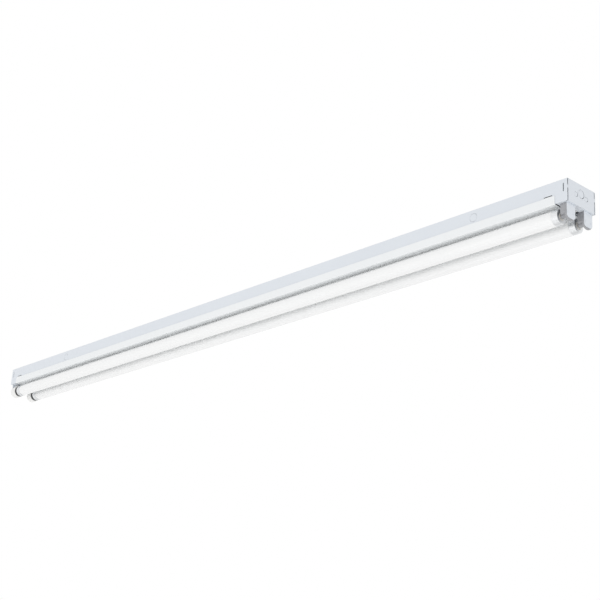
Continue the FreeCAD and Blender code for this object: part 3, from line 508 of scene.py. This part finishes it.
def turned(name, outline, axis, steps=96, upright=False, flutes=0, flute_depth=0.0, smooth_within=0.0):
    """A round piece about a line through axis, from a closed outline of places along it and radii.
    The line lies along X, or stands upright. Flutes, if any, are cut into radii above smooth_within."""
    least_radius = 1e-6
    shape = bmesh.new()
    rings = []
    for along, radius in outline:
        ring = []
        for k in range(steps if radius > least_radius else 1):
            angle = 2 * math.pi * k / steps
            wave = 0.5 - 0.5 * math.cos(flutes * angle)
            reach = radius - flute_depth * wave if radius > smooth_within else radius
            across, up = reach * math.cos(angle), reach * math.sin(angle)
            if upright:
                ring.append(shape.verts.new((axis.x + across, axis.y + up, along)))
            else:
                ring.append(shape.verts.new((along, axis.y + across, axis.z + up)))
        rings.append(ring)
    for ring, other in zip(rings, rings[1:] + rings[:1]):
        if len(ring) == len(other) == 1:
            continue
        for k in range(steps):
            pair = [ring[k % len(ring)], ring[(k + 1) % len(ring)]]
            pair_across = [other[(k + 1) % len(other)], other[k % len(other)]]
            shape.faces.new(list(dict.fromkeys(pair + pair_across)))
    return finish_mesh(name, shape)


def block(low, high):
    """The start of a straight-sided piece between two corners."""
    shape = bmesh.new()
    middle = (Vector(low) + Vector(high)) / 2
    size = Vector(high) - Vector(low)
    bmesh.ops.create_cube(shape, size=1.0, matrix=Matrix.Translation(middle) @ Matrix.Diagonal(size).to_4x4())
    return shape


def rounded_block(name, low, high, rounding):
    shape = block(low, high)
    bmesh.ops.bevel(shape, geom=shape.edges[:], offset=rounding, segments=3, profile=0.5, affect="EDGES")
    return finish_mesh(name, shape)


def carve(piece, tool):
    """Takes the shape of a tool out of a piece."""
    cutter = piece.modifiers.new("cut", "BOOLEAN")
    cutter.operation = "DIFFERENCE"
    cutter.object = tool
    graph = bpy.context.evaluated_depsgraph_get()
    cut_mesh = bpy.data.meshes.new_from_object(piece.evaluated_get(graph))
    piece.modifiers.clear()
    piece.data = cut_mesh
    bpy.data.objects.remove(tool)
    piece.data.set_sharp_from_angle(angle=math.radians(usual_crease))


def cut_away(piece, low, high):
    """Cuts a straight slot, given by its corners, out of a piece."""
    carve(piece, finish_mesh("slot_tool", block(low, high)))


def fit_out(piece, material, body, slot, *nodes):
    """Finishes a piece: its material, the body it rides on, and the nodes it stands for, which it hides. Its
    slot argument is not used.
    """
    piece.data.materials.clear()
    piece.data.materials.append(material)
    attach(piece, body)
    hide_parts(*nodes)


winding_tape = make_winding_tape()
ferrite = make_plastic("ferrite", (62, 62, 66), (52, 52, 56), (0.4, 0.6), (96, 96, 100), 800.0)
bobbin_plastic = make_plastic(
    "bobbin_plastic", (206, 200, 180), (196, 188, 166), (0.35, 0.5), (220, 216, 202))
transformer_length = 0.030
core_width = 0.012
core_end = 0.0052
core_bar = 0.0030
bobbin_flange = 0.0010
window_play = 0.0002
core_rounding = 0.0005
winding_rounding = 0.0016
flange_rounding = 0.0003
low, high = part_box("ballast_transformers")
core_low_y, core_high_y = (low.y + high.y - core_width) / 2, (low.y + high.y + core_width) / 2
for number, start in enumerate((low.x, high.x - transformer_length)):
    end = start + transformer_length
    label = "transformer_" + str(number)
    core_low, core_high = (start, core_low_y, low.z), (end, core_high_y, high.z)
    core = rounded_block(label + "_core", core_low, core_high, core_rounding)
    window_low = Vector((start + core_end, low.y, low.z + core_bar))
    window_high = Vector((end - core_end, high.y, high.z - core_bar))
    cut_away(core, window_low, window_high)
    fit_out(core, ferrite, "fixture", "dark_moulding", "ballast_transformers")
    play = Vector((window_play, 0, window_play))
    wound_low = window_low + play + Vector((0, bobbin_flange, 0))
    wound_high = window_high - play - Vector((0, bobbin_flange, 0))
    winding = rounded_block(label + "_winding", wound_low, wound_high, winding_rounding)
    fit_out(winding, winding_tape, "fixture", "transformer_tape", "ballast_transformers")
    for flange_y in (low.y, high.y - bobbin_flange):
        flange_low = (wound_low.x, flange_y, wound_low.z)
        flange_high = (wound_high.x, flange_y + bobbin_flange, wound_high.z)
        flange = rounded_block(label + "_flange", flange_low, flange_high, flange_rounding)
        fit_out(flange, bobbin_plastic, "fixture", "white_nylon", "ballast_transformers")

drawn_aluminium = make_metal("drawn_aluminium", (240, 241, 242), (226, 228, 230), (0.34, 0.50))
capacitor_radius = 0.006
capacitor_neck_radius = 0.005
capacitor_neck_length = 0.0012
capacitor_shoulder = 0.0020
sleeve_mouth_radius = 0.0046
sleeve_fold = 0.0003
lid_radius = 0.0043
lid_rim_inset = 0.0001
lid_dish_inset = 0.0004
lid_back_inset = 0.0006
low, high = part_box("ballast_capacitors")
for x in (low.x + capacitor_radius, high.x - capacitor_radius):
    for y in (low.y + capacitor_radius, high.y - capacitor_radius):
        sleeve = [
            (high.z, 0, 0), (high.z, capacitor_neck_radius, 0.0003),
            (high.z - capacitor_neck_length, capacitor_neck_radius, 0.0003),
            (high.z - capacitor_shoulder, capacitor_radius, 0.0004),
            (low.z, capacitor_radius, 0.0005), (low.z, sleeve_mouth_radius, 0.0002),
            (low.z + sleeve_fold, sleeve_mouth_radius - 0.0002, 0), (low.z + sleeve_fold, 0, 0),
        ]
        can = turned("capacitor", eased(sleeve), Vector((x, y, 0)), steps=48, upright=True)
        fit_out(can, capacitor_sleeve, "fixture", "capacitor_sleeve", "ballast_capacitors")
        lid = [
            (low.z + lid_dish_inset, 0, 0), (low.z + lid_rim_inset, lid_radius, 0.0002),
            (low.z + lid_back_inset, lid_radius, 0), (low.z + lid_back_inset, 0, 0),
        ]
        top = turned("capacitor_top", eased(lid), Vector((x, y, 0)), steps=48, upright=True)
        fit_out(top, drawn_aluminium, "fixture", "lamp_aluminium", "ballast_capacitors")


# Leads, clips and wire connectors
# Stranded leads in coloured insulation run in two rows along the back, under natural nylon clips,
# and the supply leads end in ribbed push-on caps beside the supply hole.
lead_colours = {
    "black": ((24, 24, 26), (34, 34, 36), (90, 90, 92)),
    "white": ((232, 231, 226), (222, 221, 214), (200, 200, 196)),
    "blue": ((34, 72, 168), (28, 62, 150), (96, 124, 190)),
    "red": ((186, 34, 34), (166, 28, 30), (210, 110, 104)),
    "green": ((36, 140, 72), (28, 122, 60), (110, 180, 130)),
}
insulation = {}
for colour, (first, second, edge) in lead_colours.items():
    insulation[colour] = make_plastic(colour + "_insulation", first, second, (0.35, 0.5), edge)
nylon = make_plastic("nylon", (230, 229, 220), (220, 218, 206), (0.4, 0.6), (208, 206, 196))
grey_cap = make_plastic("grey_cap", (104, 106, 110), (92, 94, 98), (0.4, 0.55), (150, 152, 156))
blue_cap = make_plastic("blue_cap", (44, 80, 170), (36, 70, 150), (0.4, 0.55), (120, 140, 200))
dress(nylon, "lead_clips")


def laid(points, bend, steps=8):
    """A lead's route by way of points: straight runs, and arcs as wide as the bend or the next runs allow."""
    run_share = 0.45
    route = [points[0]]
    for before, corner, after in zip(points, points[1:], points[2:]):
        into, out = (corner - before).normalized(), (after - corner).normalized()
        half = into.angle(out) / 2
        shorter = min((corner - before).length, (after - corner).length)
        radius = min(bend, run_share * shorter / math.tan(half))
        centre = corner + (out - into).normalized() * radius / math.cos(half)
        first = corner - into * radius * math.tan(half)
        hinge = into.cross(out)
        for step in range(steps + 1):
            route.append(centre + Matrix.Rotation(2 * half * step / steps, 3, hinge) @ (first - centre))
    return route + [points[-1]]


def wire(name, frames, radius, sides, crease=usual_crease):
    """A round wire. Each frame is a point on its middle line and two directions across it."""
    shape = bmesh.new()
    turns = [2 * math.pi * n / sides for n in range(sides)]
    rings = []
    for middle, across, over in frames:
        arms = [math.cos(a) * across + math.sin(a) * over for a in turns]
        rings.append([shape.verts.new(middle + radius * arm) for arm in arms])
    for ring, other in zip(rings, rings[1:]):
        for k in range(sides):
            shape.faces.new((ring[k - 1], ring[k], other[k], other[k - 1]))
    shape.faces.new(rings[0])
    shape.faces.new(rings[-1])
    return finish_mesh(name, shape, crease)


def lead(node, points, colour):
    """An insulated lead along its route."""
    route = laid([Vector(point) for point in points], lead_bend)
    frames = []
    across = (route[1] - route[0]).orthogonal()
    for k, point in enumerate(route):
        ahead = (route[min(k + 1, len(route) - 1)] - route[max(k - 1, 0)]).normalized()
        across = (across - ahead * across.dot(ahead)).normalized()
        frames.append((point, across, ahead.cross(across)))
    cover = wire(node + "_insulation", frames, lead_radius, lead_sides, lead_crease)
    fit_out(cover, insulation[colour], "fixture", colour + "_lead", node)


joints = {joint["name"]: joint for joint in frame["joints"]}
lamp_axes = {side: Vector(joints[side + "_lamp_turn"]["pos_m"]) for side in ("front", "rear")}
light_end = cad_high.x
lead_radius = 0.0012
lead_bend = 0.012
lead_sides = 14
lead_crease = 60
lead_entry = 0.004
lead_straight = 0.030
lead_rise_length = 0.045
lead_exit_pitch = 0.007
lead_exit_count = 4
lead_rows = {"front": -0.042, "rear": -0.038}
lead_back_height = -0.0022
lead_fall_inset = 0.044
lead_cross_inset = 0.069
lead_cross_height = -0.016
lead_bracket_height = -0.040
lead_turn_height = -0.024
blue_lead_bottom = -0.0735
red_lead_bottom = -0.0624
terminal_lead_inset = 0.0103
can_low, can_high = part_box("ballast_can")
exit_height = -0.0158
exits = [(k - (lead_exit_count - 1) / 2) * lead_exit_pitch for k in range(lead_exit_count)]
for end, colour, bottom in ((1, "blue", blue_lead_bottom), (-1, "red", red_lead_bottom)):
    can_end = can_high.x if end > 0 else can_low.x
    out = can_end + end * lead_straight
    holder_x = end * (light_end - terminal_lead_inset)
    for side, exit_y in (("front", exits[0]), ("rear", exits[1])):
        lamp_y = lamp_axes[side].y
        row = lead_rows[side]
        points = [
            (can_end - end * lead_entry, exit_y, exit_height), (out, exit_y, exit_height),
            (out + end * lead_rise_length, row, lead_back_height),
        ]
        if side == "rear":
            points.append((end * (light_end - lead_cross_inset), row, lead_back_height))
            points.append((end * (light_end - lead_straight), lamp_y, lead_cross_height))
            points.append((holder_x, lamp_y, lead_bracket_height))
        else:
            points.append((end * (light_end - lead_fall_inset), row, lead_back_height))
            points.append((holder_x, lamp_y, lead_turn_height))
        points.append((holder_x, lamp_y, bottom))
        lead(colour + "_" + side + "_lead", points, colour)

connector_cavity = 0.012
for colour, exit_y in (("black", exits[2]), ("white", exits[3])):
    low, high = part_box(colour + "_connector")
    middle = (low + high) / 2
    points = [
        (can_high.x - lead_entry, exit_y, exit_height), (can_high.x + lead_straight, exit_y, exit_height),
        (low.x - lead_straight, middle.y, middle.z), (low.x + connector_cavity / 2, middle.y, middle.z),
    ]
    lead(colour + "_supply_lead", points, colour)
low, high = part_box("green_connector")
ring_low, ring_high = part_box("ground_terminal")
middle = (low + high) / 2
ground_y = (ring_low.y + ring_high.y) / 2
barrel_drop = 0.0020
barrel_height = ring_high.z - barrel_drop
barrel_entry = 0.0054
ground_straight = 0.012
points = [
    (ring_low.x + barrel_entry, ground_y, barrel_height),
    (ring_low.x - ground_straight, ground_y, barrel_height),
    (high.x + ground_straight, middle.y, middle.z),
    (high.x - connector_cavity / 2, middle.y, middle.z),
]
lead("ground_lead", points, "green")


def measured_from(face, inward, profile):
    """An outline whose places along the axis are measured inward from a face."""
    return [(face + inward * inset, radius, rounding) for inset, radius, rounding in profile]


caps_by_colour = (
    ("black", grey_cap, "grey_connector"),
    ("white", blue_cap, "blue_connector"),
    ("green", insulation["green"], "green_lead"),
)
cap_tip_radius = 0.0038
cap_grip_radius = 0.0053
cap_grip_start = 0.0036
cap_grip_end = 0.0205
cap_grip_end_radius = 0.0040
cap_skirt_radius = 0.0059
cap_skirt_bore = 0.0041
cap_skirt_length = 0.0030
cap_skirt_depth = 0.0040
cap_lead_bore = 0.0015
cap_ribs = 12
cap_rib_depth = 0.0006
cap_smooth_radius = 0.0042
for colour, material, slot in caps_by_colour:
    low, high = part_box(colour + "_connector")
    mouth, tip = (high.x, low.x) if colour == "green" else (low.x, high.x)
    inward = 1 if tip > mouth else -1
    skirt = [
        (0, cap_skirt_bore, 0.0003), (0, cap_skirt_radius, 0.0005),
        (cap_skirt_length, cap_skirt_radius - 0.0003, 0.0003),
    ]
    grip = [(cap_grip_start, cap_grip_radius, 0), (cap_grip_end, cap_grip_end_radius, 0.0004)]
    hollow = [
        (connector_cavity, 0, 0), (connector_cavity, cap_lead_bore, 0),
        (cap_skirt_depth, cap_lead_bore, 0), (cap_skirt_depth, cap_skirt_bore, 0),
    ]
    outline = measured_from(mouth, inward, skirt + grip)
    outline += [(tip, cap_tip_radius, 0.0012), (tip, 0, 0)] + measured_from(mouth, inward, hollow)
    ribs = {"flutes": cap_ribs, "flute_depth": cap_rib_depth, "smooth_within": cap_smooth_radius}
    cap = turned(colour + "_connector_cap", eased(outline), (low + high) / 2, **ribs)
    fit_out(cap, material, "fixture", slot, colour + "_connector")


# End plates
# Enamelled plates that stand between the channel's sides, flanged under its back, with three round knockouts.
# A tab behind each side hooks out into a slot there.
dress(white_enamel, "fixed_end_plate", "sprung_end_plate")


# Socket brackets
# An enamelled sheet behind each end plate, flanged on three sides, its lower flange notched between wings.
# A window lets the leads through, and two ears hang below the channel and carry the lampholders.
dress(white_enamel, "fixed_end_socket_bracket", "sprung_end_socket_bracket")


# Fixed lampholders
# Grey moulded discs on the inner side of the near end's ears. A slender nose on each takes a lamp's pin in a
# funnel. A block above the nose reaches up to the bracket and closes in the blue lead.
def make_lead_block(name, back, inner, middle_y, width, bottom, top):
    """A block round a lead, square where it meets the bracket, rounded at its inner corners."""
    left, right = middle_y - width / 2, middle_y + width / 2
    shape = bmesh.new()
    outline = eased([
        (back, left, 0), (back, right, 0), (inner, right, block_rounding), (inner, left, block_rounding),
    ])
    lower, upper = ([shape.verts.new((x, y, z)) for x, y in outline] for z in (bottom, top))
    rims = list(shape.faces.new(lower).edges) + list(shape.faces.new(upper).edges)
    for k in range(len(outline)):
        shape.faces.new((lower[k - 1], lower[k], upper[k], upper[k - 1]))
    bmesh.ops.bevel(shape, geom=rims, offset=block_rim, segments=2, profile=0.5, affect="EDGES")
    return finish_mesh(name, shape)


grey_thermoset = make_plastic(
    "grey_thermoset", (172, 173, 176), (160, 161, 165), (0.30, 0.45), (196, 196, 199))
pin_mouth_radius = 0.00415
pin_funnel_radius = 0.0055
sleeve_hole_radius = 0.0050
holder_floor = 0.002
fixed_nose_radius = 0.0063
nose_wall_middle = 0.0058
nose_tool_margin = 0.001
nose_taper_length = 0.0040
fixed_body_length = 0.0065
fixed_rim_length = 0.0045
fixed_rim_end = 0.0052
fixed_rim_step = 0.0012
fixed_face_step = 0.0020
fixed_funnel_depth = 0.0022
fixed_mouth_depth = 0.0028
lead_slot_width = 0.0052
lead_slot_length = 0.0034
lead_slot_start = 0.002
block_rim = 0.0004
block_rounding = 0.003
fixed_block_width = 0.030
fixed_block_length = 0.020
for side, axis in lamp_axes.items():
    low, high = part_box(side + "_fixed_lampholder")
    radius = (high.y - low.y) / 2
    shoulder = high.x - fixed_body_length
    outline = [
        (high.x, 0, 0), (high.x, radius, 0.0005), (high.x - fixed_rim_length, radius, 0.0008),
        (high.x - fixed_rim_end, radius - fixed_rim_step, 0.0004),
        (shoulder, radius - fixed_face_step, 0.0010), (shoulder, fixed_nose_radius, 0.0012),
        (low.x + nose_taper_length, fixed_nose_radius, 0), (low.x, fixed_nose_radius - 0.0003, 0.0008),
        (low.x, pin_funnel_radius, 0.0004), (low.x + fixed_funnel_depth, pin_mouth_radius, 0.0002),
        (low.x + fixed_mouth_depth, pin_mouth_radius, 0), (low.x + fixed_mouth_depth, sleeve_hole_radius, 0),
        (high.x - holder_floor, sleeve_hole_radius, 0),
        (high.x - holder_floor, 0, 0),
    ]
    holder = turned(side + "_fixed_lampholder_body", eased(outline), axis)
    half = lead_slot_width / 2
    slot_low = (high.x - holder_floor - lead_slot_length, axis.y - half, axis.z + lead_slot_start)
    slot_high = (high.x - holder_floor, axis.y + half, axis.z + 2 * radius)
    cut_away(holder, slot_low, slot_high)
    fit_out(holder, grey_thermoset, "fixture", "dark_moulding", side + "_fixed_lampholder")
    inner = high.x - fixed_block_length
    name = side + "_fixed_lampholder_block"
    lead_block = make_lead_block(name, high.x, inner, axis.y, fixed_block_width, axis.z, high.z)
    past = inner - nose_tool_margin
    nose_hollow = [(past, 0), (past, nose_wall_middle), (high.x, nose_wall_middle), (high.x, 0)]
    carve(lead_block, turned("nose_tool", nose_hollow, axis))
    cut_away(lead_block, slot_low, slot_high)
    fit_out(lead_block, grey_thermoset, "fixture", "dark_moulding", side + "_fixed_lampholder")
dress(stamped_brass, "front_fixed_contact", "rear_fixed_contact")


# Sprung lampholders
# White moulded cups on the far end's ears. A lip at the mouth guides the plunger, a spring behind it
# pushes it towards the lamp, and a brass disc under the spring takes the red lead, in a block on top.
white_thermoset = make_plastic(
    "white_thermoset", (248, 248, 247), (243, 243, 241), (0.25, 0.4), (220, 220, 217))
cup_wall = 0.0015
cup_lip = 0.003
cup_slot_length = 0.0009
cup_groove_inset = 0.007
cup_groove_length = 0.002
cup_groove_slope = 0.0004
cup_groove_depth = 0.0005
lip_bore_radius = 0.0172
sprung_block_width = 0.010
sprung_block_length = 0.008
for side, axis in lamp_axes.items():
    low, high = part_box(side + "_sprung_lampholder")
    radius = (high.y - low.y) / 2
    bore = radius - cup_wall
    groove_start = low.x + cup_groove_inset
    groove_end = groove_start + cup_groove_length
    outline = [
        (low.x, 0, 0), (low.x, radius, 0.0008), (groove_start, radius, 0.0003),
        (groove_start + cup_groove_slope, radius - cup_groove_depth, 0),
        (groove_end - cup_groove_slope, radius - cup_groove_depth, 0), (groove_end, radius, 0.0003),
        (high.x, radius, 0.0016), (high.x, lip_bore_radius, 0.0006),
        (high.x - cup_lip, lip_bore_radius, 0), (high.x - cup_lip, bore, 0),
        (low.x + holder_floor, bore, 0), (low.x + holder_floor, 0, 0),
    ]
    cup = turned(side + "_sprung_lampholder_cup", eased(outline), axis)
    half = lead_slot_width / 2
    slot_low = (low.x + holder_floor, axis.y - half, axis.z + lead_slot_start)
    cut_away(cup, slot_low, (low.x + holder_floor + cup_slot_length, axis.y + half, axis.z + 2 * radius))
    fit_out(cup, white_thermoset, "fixture", "white_moulding", side + "_sprung_lampholder")
    inner = low.x + sprung_block_length
    name = side + "_sprung_lampholder_block"
    lead_block = make_lead_block(name, low.x, inner, axis.y, sprung_block_width, axis.z + bore, high.z)
    slot_high = (low.x + holder_floor + lead_slot_length, axis.y + half, axis.z + 2 * radius)
    cut_away(lead_block, slot_low, slot_high)
    fit_out(lead_block, white_thermoset, "fixture", "white_moulding", side + "_sprung_lampholder")
dress(stamped_brass, "front_sprung_terminal", "rear_sprung_terminal")


# Rivets
# Two semi-tubular steel rivets hold each lampholder on its ear. Their low heads are as white
# as the bracket.
dress(white_enamel, "lampholder_rivets")


# Springs
# Seven turns of zinc plated wire between each cup's floor and its plunger.
spring_turns = 7
spring_wire_radius = 0.0005
spring_wire_sides = 12
turn_steps = 48
for side, axis in lamp_axes.items():
    low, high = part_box(side + "_plunger_spring")
    coil_radius = (high.y - low.y) / 2 - spring_wire_radius
    start, end = low.x + spring_wire_radius, high.x - spring_wire_radius
    frames = []
    for step in range(spring_turns * turn_steps + 1):
        angle = 2 * math.pi * step / turn_steps
        outward = Vector((0, math.cos(angle), math.sin(angle)))
        along = start + (end - start) * step / (spring_turns * turn_steps)
        centre = Vector((along, axis.y, axis.z)) + coil_radius * outward
        frames.append((centre, outward, Vector((1, 0, 0))))
    spring = wire(side + "_plunger_spring_wire", frames, spring_wire_radius, spring_wire_sides)
    fit_out(spring, zinc_plate, "fixture", "zinc_steel", side + "_plunger_spring")
    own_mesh(spring)


# Plungers
# Dark moulded plugs that slide in the cups. A flange at the back keeps them in, and a funnel in the face
# guides the lamp's pin into a brass sleeve.
dark_thermoset = make_plastic("dark_thermoset", (58, 58, 61), (50, 50, 53), (0.25, 0.42), (120, 120, 124))
plunger_flange_length = 0.003
plunger_radius = 0.017
plunger_hollow_radius = 0.0135
plunger_front_wall = 0.009
face_recess_radius = 0.0125
face_recess_depth = 0.0006
face_floor_radius = 0.0120
plunger_funnel_depth = 0.0026
plunger_mouth_depth = 0.0032
for side, axis in lamp_axes.items():
    low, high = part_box(side + "_plunger")
    flange_radius = (high.y - low.y) / 2
    seat = high.x - plunger_front_wall
    outline = [
        (low.x, plunger_hollow_radius, 0.0003), (low.x, flange_radius, 0.0004),
        (low.x + plunger_flange_length, flange_radius, 0.0003),
        (low.x + plunger_flange_length, plunger_radius, 0.0003), (high.x, plunger_radius, 0.0014),
        (high.x, face_recess_radius, 0.0003), (high.x - face_recess_depth, face_floor_radius, 0.0002),
        (high.x - face_recess_depth, pin_funnel_radius, 0.0004),
        (high.x - plunger_funnel_depth, pin_mouth_radius, 0.0002),
        (high.x - plunger_mouth_depth, pin_mouth_radius, 0),
        (high.x - plunger_mouth_depth, sleeve_hole_radius, 0), (seat, sleeve_hole_radius, 0),
        (seat, plunger_hollow_radius, 0.0005),
    ]
    plunger = turned(side + "_plunger_body", eased(outline), axis)
    fit_out(plunger, dark_thermoset, side + "_plunger", "dark_moulding", side + "_plunger")
dress(stamped_brass, "front_plunger_contact", "rear_plunger_contact")


# Channel cover
# A shallow enamelled tray that snaps over the channel from below, its flanges outside the channel's sides
# and four tongues in the slots above them.
# Its enamel is painted lighter than the channel's. Part of that is a whiter coat on this separate piece, and
# part is painted light standing in for the extra light its flanges catch from below.
cover_enamel_painted_lighter = make_white_enamel("cover_enamel_painted_lighter", (243, 246, 248), (248, 250, 251))
dress(cover_enamel_painted_lighter, "channel_cover")


# Lamp glass
# Two long glass tubes with a white powder coat inside, narrowed at the ends to fit into the caps.
# The glass is glossy, and the coat under it is matt and a little uneven.
def make_coated_glass():
    """White powder coat seen through clear glass, with a little dust on top."""
    material, tree, shader = start_material("coated_glass")
    point = own_point(tree)
    along = add(tree, "ShaderNodeMapping", {"Vector": point, "Scale": (0.15, 1.0, 1.0)}).outputs[0]
    powder = noise(tree, along, 40.0, 6.0)
    grains = noise(tree, point, 2500.0, 2.0)
    dust = place(tree, settled_dust, Speckle=400.0, Drift=6.0, Amount=0.10)
    coat = mixed(tree, powder, chart(249, 250, 250), chart(252, 252, 252))
    dusty = mixed(tree, dust["Dust"], coat, dust_colour)
    surface(tree, shader, dusty, grains, (0.42, 0.5), powder, (0.05, 0.0002))
    shader["Specular IOR Level"].default_value = 0.3
    tree.links.new(spread(tree, dust["Dust"], 1.0, 0.6), shader["Coat Weight"])
    shader["Coat Roughness"].default_value = 0.04
    shader["Coat IOR"].default_value = 1.52
    return material


coated_glass = make_coated_glass()
glass_wall = 0.0008
glass_rim = 0.0004
glass_bend = 0.003
neck_step = 0.00135
neck_length = 0.013
shoulder_length = 0.005
for side, axis in lamp_axes.items():
    low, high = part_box(side + "_lamp_tube")
    radius = (high.y - low.y) / 2
    neck = radius - neck_step
    near, far = high.x - neck_length, low.x + neck_length
    outer = [
        (low.x, neck, glass_rim), (far, neck, glass_bend), (far + shoulder_length, radius, glass_bend),
        (near - shoulder_length, radius, glass_bend), (near, neck, glass_bend), (high.x, neck, glass_rim),
    ]
    bore, neck_bore = radius - glass_wall, neck - glass_wall
    inner = [
        (high.x, neck_bore, 0), (near, neck_bore, glass_bend), (near - shoulder_length, bore, glass_bend),
        (far + shoulder_length, bore, glass_bend), (far, neck_bore, glass_bend), (low.x, neck_bore, 0),
    ]
    tube = turned(side + "_lamp_glass", eased(outer + inner), axis, steps=128)
    fit_out(tube, coated_glass, side + "_lamp", "coated_glass", side + "_lamp_tube")


# Lamp caps and pins
# Drawn aluminium caps with a ring of small crimps that grip the glass. A pale insulating disc
# in each face carries one thick brass pin.
def crimp(cap, axis, ring_x, skin_radius):
    """Presses a ring of round dimples into a cap's outer skin."""
    pitch = 2 * math.pi / crimp_count
    for vertex in cap.data.vertices:
        arm = Vector((0, vertex.co.y - axis.y, vertex.co.z - axis.z))
        turn = math.atan2(arm.z, arm.y) / pitch
        around = abs(turn - round(turn)) * pitch * arm.length
        reach = math.hypot(around, vertex.co.x - ring_x) / crimp_half_width
        if reach < 1 and arm.length > skin_radius:
            vertex.co -= arm.normalized() * crimp_depth * (0.5 + 0.5 * math.cos(math.pi * reach))


pale_board = make_plastic(
    "pale_board", (236, 234, 228), (226, 223, 215), (0.35, 0.5), (206, 204, 198), 1200.0)
cap_wall = 0.0007
cap_length = 0.017
cap_step = 0.0003
cap_step_start = 0.0100
cap_step_end = 0.0108
crimp_count = 8
crimp_depth = 0.0004
crimp_half_width = 0.0015
crimp_inset = 0.0140
crimp_steps = 3
disc_radius = 0.010
disc_thickness = 0.003
disc_sink = 0.0001
pin_radius = 0.00395
pin_length = 0.008
pin_dimple_depth = 0.0005
pin_dimple_radius = 0.0011
pin_dimple_floor = 0.0006
for side, axis in lamp_axes.items():
    low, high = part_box(side + "_lamp_caps")
    radius = (high.z - low.z) / 2
    caps, discs, pins = [], [], []
    for end, face in ((-1, low.x), (1, high.x)):
        inward = -end
        crimp_rows = range(-crimp_steps, crimp_steps + 1)
        crimped = [(crimp_inset + k * crimp_half_width / crimp_steps, radius, 0) for k in crimp_rows]
        cap_profile = [
            (0, disc_radius, 0), (0, radius - 0.0012, 0.0004), (0.0008, radius - 0.0006, 0.0005),
            (0.0024, radius - cap_step, 0.0008), (cap_step_start, radius - cap_step, 0.0006),
            (cap_step_end, radius, 0.0005), *crimped,
            (cap_length, radius, 0.0003), (cap_length, radius - cap_wall, 0),
            (cap_wall, radius - 2 * cap_wall, 0), (cap_wall, disc_radius, 0),
        ]
        outline = eased(measured_from(face, inward, cap_profile))
        cap = turned(side + "_lamp_cap_" + str(len(caps)), outline, axis, steps=256)
        crimp(cap, axis, face + inward * crimp_inset, radius - cap_wall / 2)
        caps.append(cap)
        disc_profile = [
            (disc_sink, 0, 0), (disc_sink, disc_radius, 0.0003), (cap_wall + disc_sink, disc_radius, 0),
            (cap_wall + disc_sink, disc_radius + cap_wall, 0), (disc_thickness, disc_radius + cap_wall, 0),
            (disc_thickness, 0, 0),
        ]
        outline = eased(measured_from(face, inward, disc_profile))
        discs.append(turned(side + "_lamp_disc_" + str(len(discs)), outline, axis, steps=64))
        pin_profile = [
            (disc_thickness, 0, 0), (disc_thickness, pin_radius, 0), (0.0002, pin_radius, 0.0002),
            (-pin_length, pin_radius, 0.0016), (-pin_length, pin_dimple_radius, 0.0003),
            (pin_dimple_depth - pin_length, pin_dimple_floor, 0), (pin_dimple_depth - pin_length, 0, 0),
        ]
        outline = eased(measured_from(face, inward, pin_profile))
        pins.append(turned(side + "_lamp_pin_" + str(len(pins)), outline, axis, steps=48))
    for cap in caps:
        fit_out(cap, drawn_aluminium, side + "_lamp", "lamp_aluminium", side + "_lamp_caps")
    for disc in discs:
        fit_out(disc, pale_board, side + "_lamp", "white_board", side + "_lamp_insulators")
    for pin in pins:
        fit_out(pin, stamped_brass, side + "_lamp", "brass", side + "_lamp_pins")


# Stems and cathodes
# Clear glass stems that close the tube's ends, hidden by the caps. Each carries a coiled and coated
# tungsten cathode on two wires.
def make_stem_glass():
    """Clear glass with faint cords from drawing."""
    material, tree, shader = start_material("stem_glass")
    point = own_point(tree)
    cords = noise(tree, point, 300.0, 2.0)
    clear = mixed(tree, cords, chart(236, 243, 241), chart(246, 250, 249))
    surface(tree, shader, clear, cords, (0.02, 0.08), cords, (0.05, 0.0002))
    shader["Transmission Weight"].default_value = 1.0
    shader["IOR"].default_value = 1.52
    return material


coated_tungsten = make_metal("coated_tungsten", (150, 150, 154), (206, 206, 202), (0.4, 0.7))
dress(make_stem_glass(), "front_lamp_stems", "rear_lamp_stems")
dress(coated_tungsten, "front_lamp_cathodes", "rear_lamp_cathodes")
